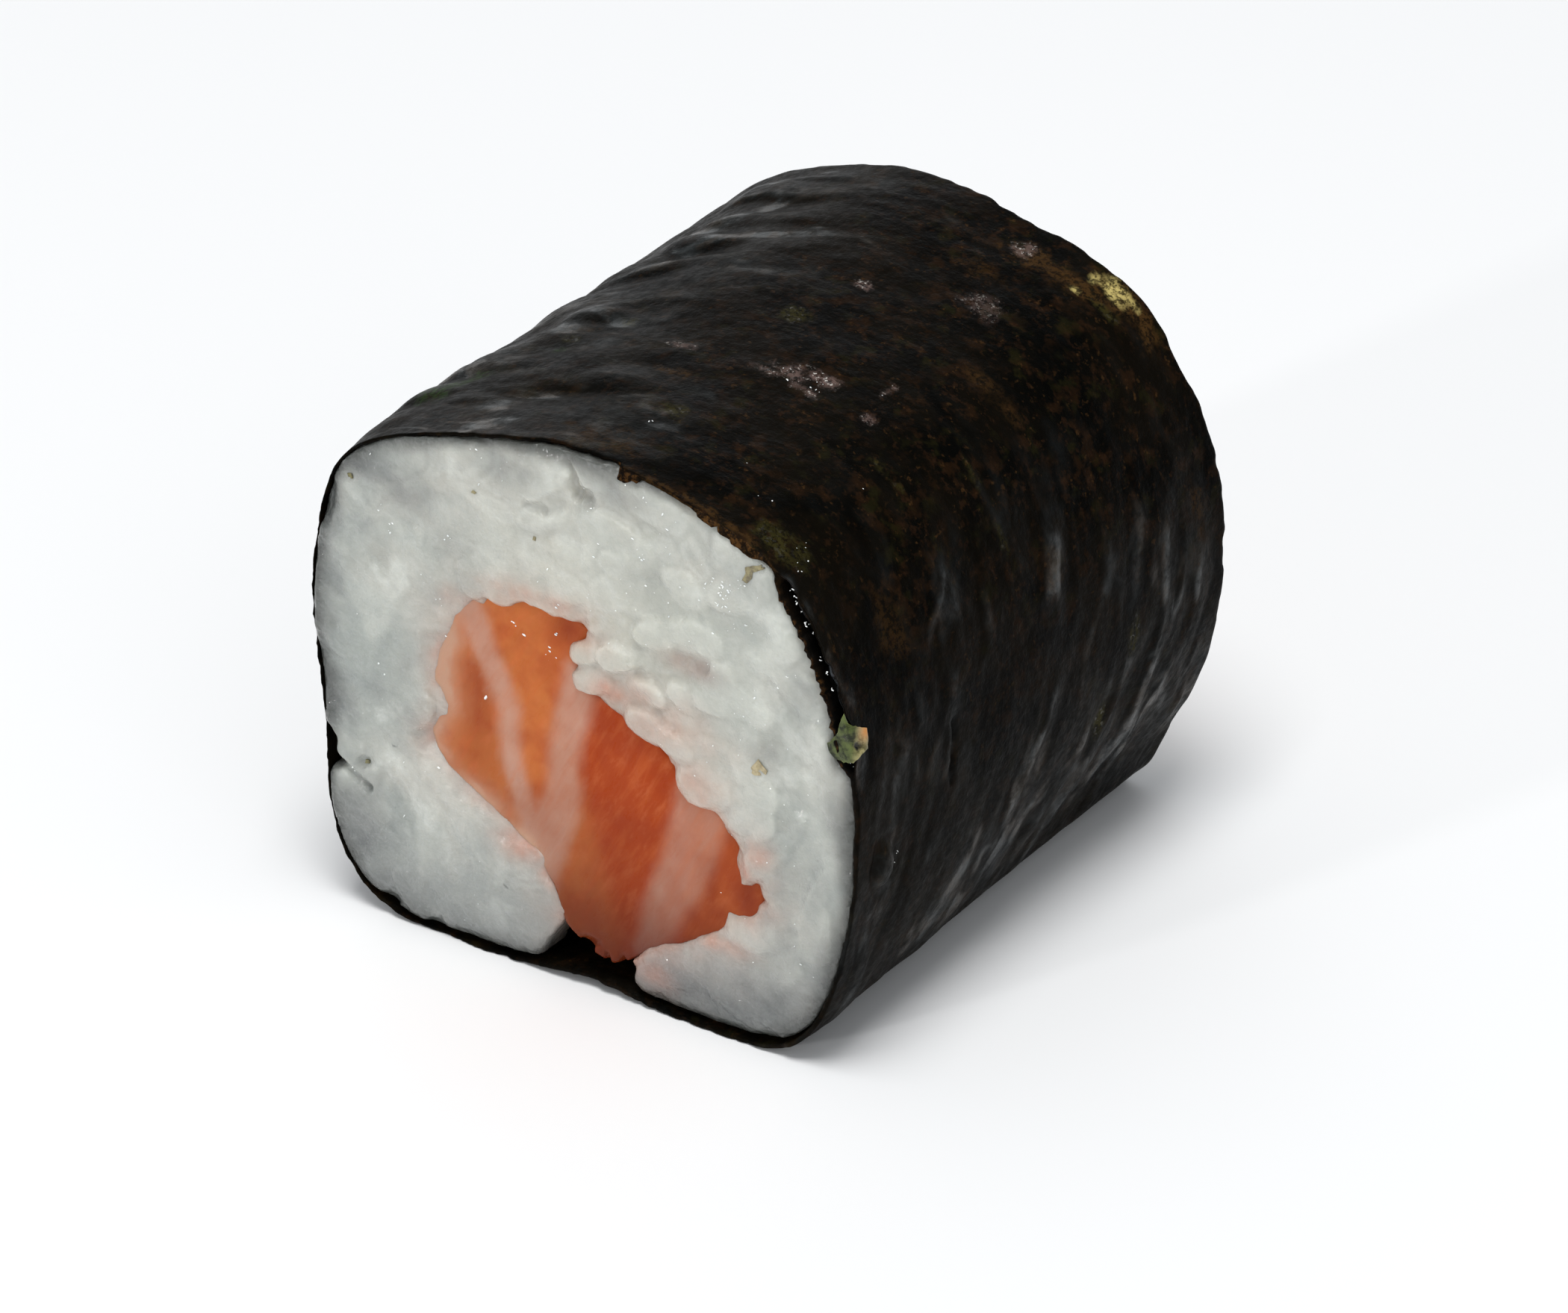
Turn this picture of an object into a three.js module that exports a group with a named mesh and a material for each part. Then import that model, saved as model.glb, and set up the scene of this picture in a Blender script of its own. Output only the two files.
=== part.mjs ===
// One piece of salmon maki: a seaweed sheet rolled round rice, with a bar of salmon along the middle.
// Millimetres, +Z up. The roll lies along Y with one cut face towards -Y, and it rests on Z = 0,
// centred on X and Y. Sections are drawn in X (across) and Z (up), then extruded along the roll.
import * as THREE from 'three';

// ---- Driving dimensions ----
const ROLL_LENGTH = 24.8; // between the two cut faces, half way up
const ROLL_HEIGHT = 22.4; // at the near cut face
const SHEET_THICKNESS = 0.4; // wet seaweed sheet
const LAP_THICKNESS = 0.3; // what the second layer adds where the sheet laps over itself
const GAP = 0.3; // clearance between neighbouring solids
const SHEET_SETBACK = 0.15; // how far the sheet's rims stand back from the cut faces, on average
const RIM_WAVES = [ // unevenness of those rims: waves in one turn, height and phase
  { turns: 3, height: 0.07, phase: 0.8 },
  { turns: 7, height: 0.05, phase: 0 },
];
const FAR_END_HEIGHTENING = 0.01; // the far cut face is this share higher than the near one,
const FAR_END_SHIFT = -0.3; // sits this far to the side of it along X,
const FAR_END_LEAN = 0.026; // and leans away by this much for each millimetre of height

// The section's underside rests on two flat strips with a shallow hollow between them.
const LEFT_STRIP = [-7.4, -3.0];
const RIGHT_STRIP = [3.6, 8.2];
const UNDERSIDE_HOLLOW = 0.35;

// Outside of the sheet at the near cut face, between the strips: up the right side, over the top
// and down the left side. It is a rounded square, pressed flatter on its left.
const SIDES_AND_TOP = [
  [10.1, 1.0], [11.4, 3.6], [12.2, 7.2], [12.4, 11.0], [11.8, 15.0], [9.9, 18.9],
  [7.8, 20.8], [4.0, 22.0], [0, ROLL_HEIGHT], [-3.8, 21.9], [-8.3, 20.4], [-10.8, 18.3], [-11.9, 15.0],
  [-12.2, 12.0], [-11.8, 8.0], [-11.6, 3.8], [-10.8, 1.6], [-9.3, 0.4],
];

// Salmon at the cut: a slab leaning to the right, its foot pushed down between the ends of the rice.
const SALMON_OUTLINE = [
  [1.2, 1.3], [2.5, 2.1], [4.3, 3.2], [6.4, 4.4], [7.7, 5.4], [8.0, 6.3], [7.3, 7.5], [6.1, 8.9],
  [4.5, 9.7], [3.5, 10.9], [1.7, 12.0], [0.2, 12.4], [-0.4, 13.4], [0.2, 14.9], [-1.3, 15.2],
  [-2.8, 15.5], [-4.7, 14.6], [-6.1, 12.9], [-6.7, 10.5], [-6.6, 8.0], [-4.5, 6.4], [-2.9, 5.4],
  [-1.3, 3.9], [-0.8, 2.5], [0.2, 1.7],
];

// Rounded ends of the rice layer, either side of the salmon's foot.
const RICE_END_RIGHT = [2.3, 1.05];
const RICE_END_LEFT = [-1.6, 1.9];
const RICE_END_ROUNDING = 0.5; // the inner wall starts this far above them
const RICE_OPENING = [-2.1, 2.6]; // the rice leaves the sheet bare between these two X, underneath
const SALMON_FOOT = 0.6; // X of the foot's middle, which parts the two
const RICE_LOBES = 17; // grains standing into the salmon along the inner wall
const RICE_LOBE_DEPTH = 0.2;

// Directions are measured round this point of the section, in degrees from +X towards +Z.
const SECTION_MIDDLE = [0, 11];

// Where the sheet laps over itself.
const LAP_FROM = 10;
const LAP_TO = 42;
const LAP_RAMP = 6;

// A hollow between the rice and the sheet, low on the left side.
const POCKET_HEIGHT = 6.6;
const POCKET_HALF_WIDTH = 0.8;
const POCKET_DEPTH = 0.6;

// Places where the roll is fuller or leaner than a straight sweep: direction, share of the length
// from the near face, widths of both, and how far it stands out.
const SWELLS = [
  { toward: 150, along: 0.3, spread: 28, reach: 0.3, height: 0.35 },
  { toward: 108, along: 1, spread: 24, reach: 0.35, height: 0.55 },
  { toward: 0, along: 0.95, spread: 30, reach: 0.35, height: 0.3 },
  { toward: -45, along: 0.85, spread: 20, reach: 0.4, height: -0.6 },
];
const SWELL_FADE_HEIGHT = 2.5; // swells die out towards the underside, which stays flat

// ---- Fineness of the faceted surfaces ----
const SHEET_SIDES = 96;
const SALMON_SIDES = 60;
const STEPS_ALONG = 10;

const degrees = (x, z) => THREE.MathUtils.radToDeg(
  Math.atan2(z - SECTION_MIDDLE[1], x - SECTION_MIDDLE[0]),
);
const bell = (distance, width) => Math.exp(-((distance / width) ** 2));

// Points evenly spaced round the outside of the sheet, anticlockwise from the right strip.
function sheetOutline() {
  const path = new THREE.Path();
  path.moveTo(RIGHT_STRIP[0], 0);
  path.lineTo(RIGHT_STRIP[1], 0);
  path.splineThru([...SIDES_AND_TOP, [LEFT_STRIP[0], 0]].map(([x, z]) => new THREE.Vector2(x, z)));
  path.lineTo(LEFT_STRIP[1], 0);
  const hollowMiddle = new THREE.Vector2((LEFT_STRIP[1] + RIGHT_STRIP[0]) / 2, UNDERSIDE_HOLLOW);
  path.splineThru([hollowMiddle, new THREE.Vector2(RIGHT_STRIP[0], 0)]);
  return path.getSpacedPoints(SHEET_SIDES).slice(0, SHEET_SIDES);
}

function salmonOutline() {
  const corners = SALMON_OUTLINE.map(([x, z]) => new THREE.Vector3(x, z, 0));
  const curve = new THREE.CatmullRomCurve3(corners, true, 'centripetal');
  return curve.getSpacedPoints(SALMON_SIDES).slice(0, SALMON_SIDES).map((p) => new THREE.Vector2(p.x, p.y));
}

// Moves each point of a closed anticlockwise outline inwards by distance(point, index).
function inset(outline, distance) {
  return outline.map((point, i) => {
    const before = outline.at(i - 1);
    const after = outline[(i + 1) % outline.length];
    const inward = new THREE.Vector2(before.y - after.y, after.x - before.x).normalize();
    return point.clone().addScaledVector(inward, distance(point, i));
  });
}

// Thickness of the rolled sheet: one layer, or two where it laps, with a ramp between them.
function sheetDepth(point) {
  const angle = degrees(point.x, point.y);
  const rise = THREE.MathUtils.smoothstep(angle, LAP_FROM - LAP_RAMP, LAP_FROM);
  const fall = THREE.MathUtils.smoothstep(angle, LAP_TO, LAP_TO + LAP_RAMP);
  return SHEET_THICKNESS + LAP_THICKNESS * (rise - fall);
}

// Outside of the rice, in from the sheet's outside, with the pocket low on the left.
function riceDepth(point) {
  const pocket = point.x < 0 ? POCKET_DEPTH * bell(point.y - POCKET_HEIGHT, POCKET_HALF_WIDTH) : 0;
  return sheetDepth(point) + GAP + pocket;
}

// Turns a closed outline's list of points so that it starts just past the last one that is left out,
// and leaves those out.
function openedUp(outline, isLeftOut) {
  const last = outline.findLastIndex(isLeftOut);
  return [...outline.slice(last + 1), ...outline.slice(0, last + 1)].filter((point) => !isLeftOut(point));
}

// The rice's section is a thick letter C, open underneath where the salmon's foot stands.
function riceOutline(sheet, salmon) {
  const outside = openedUp(
    inset(sheet, riceDepth),
    ({ x, y }) => y < RICE_END_LEFT[1] && x > RICE_OPENING[0] && x < RICE_OPENING[1],
  );
  const wall = inset(salmon, (point, i) => {
    const lobe = 0.5 + 0.5 * Math.sin((2 * Math.PI * RICE_LOBES * i) / SALMON_SIDES);
    return -GAP - RICE_LOBE_DEPTH * lobe;
  });
  const inside = openedUp(wall, ({ x, y }) => {
    const endHeight = x < SALMON_FOOT ? RICE_END_LEFT[1] : RICE_END_RIGHT[1];
    return y < endHeight + RICE_END_ROUNDING;
  });
  return [
    ...outside,
    new THREE.Vector2(...RICE_END_LEFT),
    ...inside.reverse(),
    new THREE.Vector2(...RICE_END_RIGHT),
  ];
}

// How far the rims stand back, in a slow wave round the roll.
function rimSetback(angle) {
  const turn = THREE.MathUtils.degToRad(angle);
  return RIM_WAVES.reduce(
    (setback, { turns, height, phase }) => setback + height * Math.sin(turns * turn + phase),
    SHEET_SETBACK,
  );
}

// Gives a straight extrusion the roll's own unevenness. In the geometry, x is across, y is up and
// z runs from the far cut face (0) to the near one (ROLL_LENGTH).
function settle(geometry, hasWavyRims) {
  const position = geometry.getAttribute('position');
  for (let i = 0; i < position.count; i += 1) {
    const x = position.getX(i);
    const y = position.getY(i);
    const z = position.getZ(i);
    const toBack = 1 - z / ROLL_LENGTH;
    const angle = degrees(x, y);
    const offMiddle = new THREE.Vector2(x - SECTION_MIDDLE[0], y - SECTION_MIDDLE[1]);
    const share = offMiddle.length() / (0.5 * ROLL_HEIGHT);
    let swell = 0;
    for (const { toward, along, spread, reach, height } of SWELLS) {
      const turned = THREE.MathUtils.euclideanModulo(angle - toward + 180, 360) - 180;
      swell += height * bell(turned, spread) * bell(toBack - along, reach);
    }
    swell *= share * THREE.MathUtils.smoothstep(y, 0, SWELL_FADE_HEIGHT);
    const outward = offMiddle.normalize().multiplyScalar(swell);
    const setback = hasWavyRims ? rimSetback(angle) : 0;
    position.setXYZ(
      i,
      x + FAR_END_SHIFT * toBack + outward.x,
      y * (1 + FAR_END_HEIGHTENING * toBack) + outward.y,
      z - FAR_END_LEAN * (y - SECTION_MIDDLE[1]) * toBack + setback * (2 * toBack - 1),
    );
  }
  geometry.computeVertexNormals();
  return geometry;
}

// Extrudes a section along the roll and turns it so that it runs along Y.
function alongRoll(name, shape, material, hasWavyRims = false) {
  const geometry = new THREE.ExtrudeGeometry(shape, {
    depth: ROLL_LENGTH, steps: STEPS_ALONG, bevelEnabled: false,
  });
  const mesh = new THREE.Mesh(settle(geometry, hasWavyRims), material);
  mesh.name = name;
  return mesh;
}

function makeNori(sheet) {
  const shape = new THREE.Shape(sheet);
  shape.holes.push(new THREE.Path(inset(sheet, sheetDepth)));
  const seaweed = new THREE.MeshStandardMaterial({ color: 0x1c1a16, roughness: 0.45, metalness: 0 });
  return alongRoll('nori', shape, seaweed, true);
}

function makeRice(sheet, salmon) {
  const cookedRice = new THREE.MeshStandardMaterial({ color: 0xdfe2da, roughness: 0.4, metalness: 0 });
  return alongRoll('rice', new THREE.Shape(riceOutline(sheet, salmon)), cookedRice);
}

function makeSalmon(salmon) {
  const rawSalmon = new THREE.MeshStandardMaterial({ color: 0xd9702f, roughness: 0.35, metalness: 0 });
  return alongRoll('salmon', new THREE.Shape(salmon), rawSalmon);
}

const sheet = sheetOutline();
const salmon = salmonOutline();
const roll = new THREE.Group();
roll.add(makeNori(sheet), makeRice(sheet, salmon), makeSalmon(salmon));
roll.rotation.x = Math.PI / 2;
const middle = new THREE.Box3().setFromObject(roll).getCenter(new THREE.Vector3());
roll.position.set(-middle.x, -middle.y, 0);

export default roll;
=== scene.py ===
"""Looks for one cut piece of salmon maki: wet seaweed, sticky rice grains and a slab of raw salmon."""

import math

import bpy
import numpy as np
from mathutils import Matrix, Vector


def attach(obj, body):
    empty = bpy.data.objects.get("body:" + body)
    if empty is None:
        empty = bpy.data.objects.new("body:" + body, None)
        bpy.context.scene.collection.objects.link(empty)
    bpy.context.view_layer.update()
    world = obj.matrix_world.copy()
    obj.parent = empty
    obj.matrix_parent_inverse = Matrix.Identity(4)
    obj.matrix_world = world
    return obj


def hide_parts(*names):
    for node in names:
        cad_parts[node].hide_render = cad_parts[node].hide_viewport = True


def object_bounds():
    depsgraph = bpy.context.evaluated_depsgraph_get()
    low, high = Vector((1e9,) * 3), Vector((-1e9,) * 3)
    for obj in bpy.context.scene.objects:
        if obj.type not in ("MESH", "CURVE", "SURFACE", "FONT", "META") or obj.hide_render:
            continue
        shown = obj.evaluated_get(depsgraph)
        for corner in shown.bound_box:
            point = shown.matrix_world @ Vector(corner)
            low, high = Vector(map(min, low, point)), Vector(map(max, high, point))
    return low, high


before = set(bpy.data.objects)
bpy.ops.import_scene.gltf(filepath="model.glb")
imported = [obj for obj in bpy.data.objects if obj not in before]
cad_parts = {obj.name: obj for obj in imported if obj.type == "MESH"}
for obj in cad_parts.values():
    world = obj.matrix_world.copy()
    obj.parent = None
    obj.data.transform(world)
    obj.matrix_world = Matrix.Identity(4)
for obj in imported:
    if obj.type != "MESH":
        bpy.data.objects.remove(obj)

import openvdb
from mathutils import Vector

CAD_LOW, CAD_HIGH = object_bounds()

# Everything below is in millimetres, in the CAD's frame, until a mesh is made. Places on a cut face are
# (x, z). Places on the seaweed are degrees round MIDDLE, from +X towards +Z, and y.
MM = 0.001
LOW = np.array(CAD_LOW) / MM
HIGH = np.array(CAD_HIGH) / MM
BOX_LOW, BOX_HIGH = LOW + 0.01, HIGH - 0.01  # the seaweed's points stay inside these
MIDDLE = np.array([0.0, 11.0])
NEAR_FACE = LOW[1]  # y of the near cut face


# ---------------------------------------------------------------- noise and small sums

# Large primes that scramble a seed and a lattice point into a number.
SEED_PRIME = 2654435761
AXIS_PRIMES = (73856093, 19349663, 83492791)
MIXING_PRIME = 1274126177
FINER = 2.03  # how much finer each layer of noise is than the last


def lattice_noise(x, y, z, seed):
    """Smooth noise from -1 to 1 with about one bump to each unit of x, y and z."""
    x, y, z = np.broadcast_arrays(x, y, z)
    cells = [np.floor(c).astype(np.int64) for c in (x, y, z)]
    parts = [c - cell for c, cell in zip((x, y, z), cells)]
    ease = [t * t * t * (t * (t * 6 - 15) + 10) for t in parts]
    total = np.zeros(x.shape)
    for corner in range(8):
        step = (corner & 1, corner >> 1 & 1, corner >> 2 & 1)
        key = seed * SEED_PRIME
        weight = 1.0
        for cell, s, e, prime in zip(cells, step, ease, AXIS_PRIMES):
            key = key ^ (cell + s) * prime
            weight = weight * (e if s else 1 - e)
        key = (key ^ key >> 13) * MIXING_PRIME & 0xFFFFFFFF
        total += weight * (((key ^ key >> 16) & 0xFFFF) / 32767.5 - 1)
    return total


def layered_noise(x, y, z, seed, layers):
    """Noise with finer, weaker noise laid over it."""
    total = 0.0
    for i in range(layers):
        total = total + lattice_noise(x * FINER ** i, y * FINER ** i, z * FINER ** i, seed + i) * 0.5 ** i
    return total


def face_noise(x, z, width, height, seed, layers=1):
    """Noise over a cut face, with bumps of this width and height in mm."""
    return layered_noise(x / width, 0, z / height, seed, layers)


def sheet_noise(run, across, length, width, seed, layers=1):
    """Noise over the seaweed, with bumps of this length round the roll and this width."""
    return layered_noise(run / length, across / width, 0, seed, layers)


def step_up(value, start, end):
    """0 below start, 1 above end, and smooth between them."""
    t = np.clip((value - start) / (end - start), 0, 1)
    return t * t * (3 - 2 * t)


def between(value, start, full, end, gone):
    """1 from full to end, 0 before start and after gone."""
    return step_up(value, start, full) * (1 - step_up(value, end, gone))


def bell(distance, width=1.0):
    return np.exp(-((distance / width) ** 2))


def fade(distance, length):
    """1 at 0 or less, falling away over this length."""
    return np.exp(-np.clip(distance, 0, 9) / length)


def smooth_min(a, b, blend):
    h = np.clip(0.5 + 0.5 * (b - a) / blend, 0, 1)
    return b + (a - b) * h - blend * h * (1 - h)


def smooth_max(a, b, blend):
    return -smooth_min(-a, -b, blend)


def spots(table, x, z):
    """How strongly (x, z) is in one of a table of soft spots: x, z, half width, half height, strength."""
    strength = np.zeros(x.shape)
    for spot_x, spot_z, half_width, half_height, share in table:
        away = np.hypot((x - spot_x) / half_width, (z - spot_z) / half_height)
        strength = np.maximum(strength, share * bell(away))
    return strength


def from_stretch(x, z, ax, az, bx, bz):
    """How far (x, z) is from a straight stretch, in x and in z, and how far along it the nearest place is."""
    ex, ez = bx - ax, bz - az
    t = np.clip(((x - ax) * ex + (z - az) * ez) / max(ex * ex + ez * ez, 1e-12), 0, 1)
    return x - ax - t * ex, z - az - t * ez, t


def outline_distance(edges, x, z):
    """Distance from (x, z) to a closed outline, negative inside it. edges are pairs of points."""
    nearest = np.full(np.broadcast(x, z).shape, np.inf)
    inside = np.zeros(nearest.shape, bool)
    for (ax, az), (bx, bz) in edges:
        dx, dz, _ = from_stretch(x, z, ax, az, bx, bz)
        nearest = np.minimum(nearest, dx ** 2 + dz ** 2)
        if az != bz:
            inside ^= ((az > z) != (bz > z)) & (x < ax + (z - az) * (bx - ax) / (bz - az))
    nearest = np.sqrt(nearest)
    return np.where(inside, -nearest, nearest)


def closed_edges(outline):
    outline = np.array(outline)
    return np.stack([outline, np.roll(outline, -1, 0)], 1)


def direction(x, z):
    """The angle of (x, z) round MIDDLE."""
    return np.arctan2(z - MIDDLE[1], x - MIDDLE[0])


# ---------------------------------------------------------------- measuring the CAD solids

def node_mesh(name):
    """A CAD node's corners in mm, and its triangles."""
    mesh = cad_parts[name].data
    corners = np.zeros(len(mesh.vertices) * 3)
    mesh.vertices.foreach_get("co", corners)
    mesh.calc_loop_triangles()
    triangles = np.zeros(len(mesh.loop_triangles) * 3, np.int64)
    mesh.loop_triangles.foreach_get("vertices", triangles)
    return corners.reshape(-1, 3) / MM, triangles.reshape(-1, 3)


def section(name, y):
    """Where a CAD node crosses the plane at y: pairs of (x, z) points."""
    corners, triangles = node_mesh(name)
    faces = corners[triangles]
    side = faces[:, :, 1] - y
    cut = (side.min(1) < 0) & (side.max(1) > 0)
    faces, side = faces[cut], side[cut]
    ends = []
    for i, j in ((0, 1), (1, 2), (2, 0)):
        crosses = side[:, i] * side[:, j] < 0
        t = np.where(crosses, side[:, i] / np.where(crosses, side[:, i] - side[:, j], 1), np.nan)
        ends.append(faces[:, i] + t[:, None] * (faces[:, j] - faces[:, i]))
    ends = np.stack(ends, 1)[:, :, [0, 2]]
    found = np.isfinite(ends[:, :, 0])
    pairs = found.sum(1) == 2
    return ends[pairs][found[pairs]].reshape(-1, 2, 2)


def reach(name, y, angles):
    """How far a CAD node's outside is from MIDDLE in each direction, in the section at y."""
    edges = section(name, y) - MIDDLE
    start_x, start_z = edges[:, 0].T
    along_x, along_z = (edges[:, 1] - edges[:, 0]).T
    aim_x, aim_z = np.cos(angles)[:, None], np.sin(angles)[:, None]
    det = aim_z * along_x - aim_x * along_z
    det = np.where(np.abs(det) < 1e-9, 1e-9, det)
    far = (start_z * along_x - start_x * along_z) / det
    share = (aim_x * start_z - aim_z * start_x) / det
    hit = (share >= -1e-6) & (share <= 1 + 1e-6) & (far > 0)
    return np.where(hit, far, -1.0).max(1)


def far_face():
    """(a, b) of the far cut face, which leans: y = a + b z."""
    corners, _ = node_mesh("rice")
    end = corners[corners[:, 1] > HIGH[1] - 1.0]
    lean, level = np.polyfit(end[:, 2], end[:, 1], 1)
    return level, lean


FAR_LEVEL, FAR_LEAN = far_face()

# The outside of the seaweed as a table of distances from MIDDLE, by direction and by place along Y.
DIRECTIONS = 720
STATIONS = np.linspace(LOW[1] + 0.4, HIGH[1] - 1.0, 12)  # all within the sheet's own ragged rims
FINEST_WAVE = 34.0  # waves round the roll; finer ones come from the CAD's facets and are left out
# Where the left shoulder stands out: degrees, half width, y, half length and height.
SWELLING = (140.5, 12.0, -10.2, 2.8, 0.34)


def outside_table():
    angles = np.linspace(0, 2 * np.pi, DIRECTIONS, endpoint=False)
    table = np.array([reach("nori", y, angles) for y in STATIONS])
    waves = np.fft.fftfreq(DIRECTIONS, 1 / DIRECTIONS)
    return np.real(np.fft.ifft(np.fft.fft(table, axis=1) * bell(waves, FINEST_WAVE), axis=1))


OUTSIDE = outside_table()


def outside(angle, y):
    """Distance of the seaweed's outside from MIDDLE, at any direction and place."""
    turn = np.mod(angle, 2 * np.pi) / (2 * np.pi) * DIRECTIONS
    i = np.floor(turn).astype(int)
    t = turn - i
    place = np.clip((y - STATIONS[0]) / (STATIONS[1] - STATIONS[0]), 0, len(STATIONS) - 1.001)
    j = np.floor(place).astype(int)
    s = (step_up(place - j, 0, 1) + (place - j)) / 2
    near, far = (OUTSIDE[row, i % DIRECTIONS] * (1 - t) + OUTSIDE[row, (i + 1) % DIRECTIONS] * t
                 for row in (j, j + 1))
    middle, half_round, middle_y, half_along, height = SWELLING
    off = np.mod(np.degrees(angle) - middle + 180, 360) - 180
    return near * (1 - s) + far * s + height * bell(off, half_round) * bell(y - middle_y, half_along)


# ---------------------------------------------------------------- making meshes

def new_piece(name, points, faces, material):
    """A mesh object from points in mm."""
    mesh = bpy.data.meshes.new(name)
    mesh.from_pydata((np.asarray(points) * MM).tolist(), [], [list(f) for f in faces])
    mesh.validate()
    mesh.shade_smooth()
    mesh.materials.append(material)
    piece = bpy.data.objects.new(name, mesh)
    bpy.context.scene.collection.objects.link(piece)
    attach(piece, "root")
    return piece


def set_values(piece, name, values):
    """Stores one number for each vertex, for the material to read."""
    attribute = piece.data.attributes.new(name, "FLOAT", "POINT")
    attribute.data.foreach_set("value", np.asarray(values, np.float32))


class Block:
    """A box of voxels round one end of the roll, holding the signed distance to what is built in it."""

    FLATTEN = 0.012  # from 0 to 1, how readily almost flat faces are joined into larger ones

    def __init__(self, low, high, size):
        self.size = size
        self.low = np.array(low, float)
        count = np.ceil((np.array(high) - self.low) / size).astype(int) + 1
        self.axes = [self.low[k] + size * np.arange(count[k]) for k in range(3)]
        self.x, self.y, self.z = np.meshgrid(*self.axes, indexing="ij", sparse=True)
        self.shape = tuple(count)  # x, y and z broadcast to this; a map over (x, z) is one voxel deep in y

    def around(self, low, high):
        """Slices of the voxels between two corners."""
        first = np.clip(np.floor((low - self.low) / self.size).astype(int), 0, self.shape)
        last = np.clip(np.ceil((high - self.low) / self.size).astype(int) + 1, 0, self.shape)
        return tuple(slice(a, b) for a, b in zip(first, last))

    def part(self, part):
        """The coordinates of the voxels in some slices."""
        return self.x[part[0]], self.y[:, part[1]], self.z[:, :, part[2]]

    def surface(self, distance):
        """Points and faces of the surface where distance is 0."""
        closed = np.full(np.array(self.shape) + 2, 1.0, np.float32)
        closed[1:-1, 1:-1, 1:-1] = distance
        grid = openvdb.FloatGrid(1.0)
        grid.copyFromArray(closed)
        points, triangles, quads = grid.convertToPolygons(0.0, self.FLATTEN)
        points = (points - 1) * self.size + self.low
        faces = [*triangles[:, ::-1].tolist(), *quads[:, ::-1].tolist()]
        return points, faces

    def sample(self, values, points):
        """values at points, between the voxels."""
        place = np.clip((points - self.low) / self.size, 0, np.array(self.shape) - 1.001)
        i = np.floor(place).astype(int)
        t = place - i
        total = 0.0
        for corner in range(8):
            s = np.array([corner & 1, corner >> 1 & 1, corner >> 2 & 1])
            weight = np.prod(np.where(s, t, 1 - t), axis=1)
            total = total + weight * values[tuple((i + s).T)]
        return total

    def sample_map(self, plane, points):
        """The same from a map over (x, z)."""
        return self.sample(np.broadcast_to(plane, self.shape), points)


# ---------------------------------------------------------------- material nodes

def colour(red, green, blue):
    """A linear colour from the 0 to 255 values that a picture shows."""

    def linear(level):
        return ((level / 255 + 0.055) / 1.055) ** 2.4 if level > 10 else level / 255 / 12.92

    return linear(red), linear(green), linear(blue), 1.0


class Nodes:
    """Shorthand for building one material. Colours are triples as colour takes, or sockets."""

    def __init__(self, name):
        self.material = bpy.data.materials.new(name)
        self.material.use_nodes = True
        self.tree = self.material.node_tree
        self.shader = self.tree.nodes["Principled BSDF"]

    def add(self, kind, inputs=(), **settings):
        node = self.tree.nodes.new(kind)
        for key, value in settings.items():
            setattr(node, key, value)
        for key, value in dict(inputs).items():
            self.feed(node.inputs[key], value)
        return node

    def feed(self, socket, value):
        if isinstance(value, bpy.types.NodeSocket):
            self.tree.links.new(value, socket)
        else:
            socket.default_value = value

    def set(self, **inputs):
        for key, value in inputs.items():
            self.feed(self.shader.inputs[key.replace("_", " ")], value)

    def value(self, name):
        """A number stored on the mesh."""
        return self.add("ShaderNodeAttribute", attribute_name=name).outputs["Fac"]

    def place(self, per_mm=(1, 1, 1), turn=(0, 0, 0)):
        """The point in mm times per_mm."""
        where = self.add("ShaderNodeTexCoord").outputs["Object"]
        return self.add("ShaderNodeMapping", {
            "Vector": where, "Scale": [MM / p for p in per_mm], "Rotation": turn,
        }, vector_type="TEXTURE").outputs["Vector"]

    def flow(self, along, across):
        """The point on the sheet: mm round the roll and mm across its streaks, times these shares."""
        inputs = {"X": self.times(self.value("run"), along), "Y": self.times(self.value("across"), across)}
        return self.add("ShaderNodeCombineXYZ", inputs).outputs["Vector"]

    def noise(self, vector, scale=1.0, detail=4.0, roughness=0.5, distortion=0.0):
        return self.add("ShaderNodeTexNoise", {
            "Vector": vector, "Scale": scale, "Detail": detail, "Roughness": roughness,
            "Distortion": distortion,
        }).outputs["Fac"]

    def ramp(self, value, low, high, start=0.0, end=1.0):
        """start where value is low or less, end where it is high or more."""
        return self.add("ShaderNodeMapRange", {
            "Value": value, "From Min": low, "From Max": high, "To Min": start, "To Max": end,
        }, interpolation_type="SMOOTHSTEP").outputs["Result"]

    def times(self, a, b):
        return self.add("ShaderNodeMath", {0: a, 1: b}, operation="MULTIPLY").outputs[0]

    def most(self, a, b):
        return self.add("ShaderNodeMath", {0: a, 1: b}, operation="MAXIMUM").outputs[0]

    def mix(self, share, a, b):
        """Colour a with this share of colour b."""
        a, b = (c if isinstance(c, bpy.types.NodeSocket) else colour(*c) for c in (a, b))
        return self.add("ShaderNodeMix", {0: share, 6: a, 7: b}, data_type="RGBA").outputs[2]

    def coats(self, look, *coats):
        """A colour under coats of (share, colour), each over the last."""
        for share, tint in coats:
            look = self.mix(share, look, tint)
        return look

    def bump(self, height, distance_mm, strength=1.0, under=None):
        inputs = {"Height": height, "Distance": distance_mm * MM, "Strength": strength}
        if under is not None:
            inputs["Normal"] = under
        return self.add("ShaderNodeBump", inputs).outputs["Normal"]


# ---------------------------------------------------------------- seaweed

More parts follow.
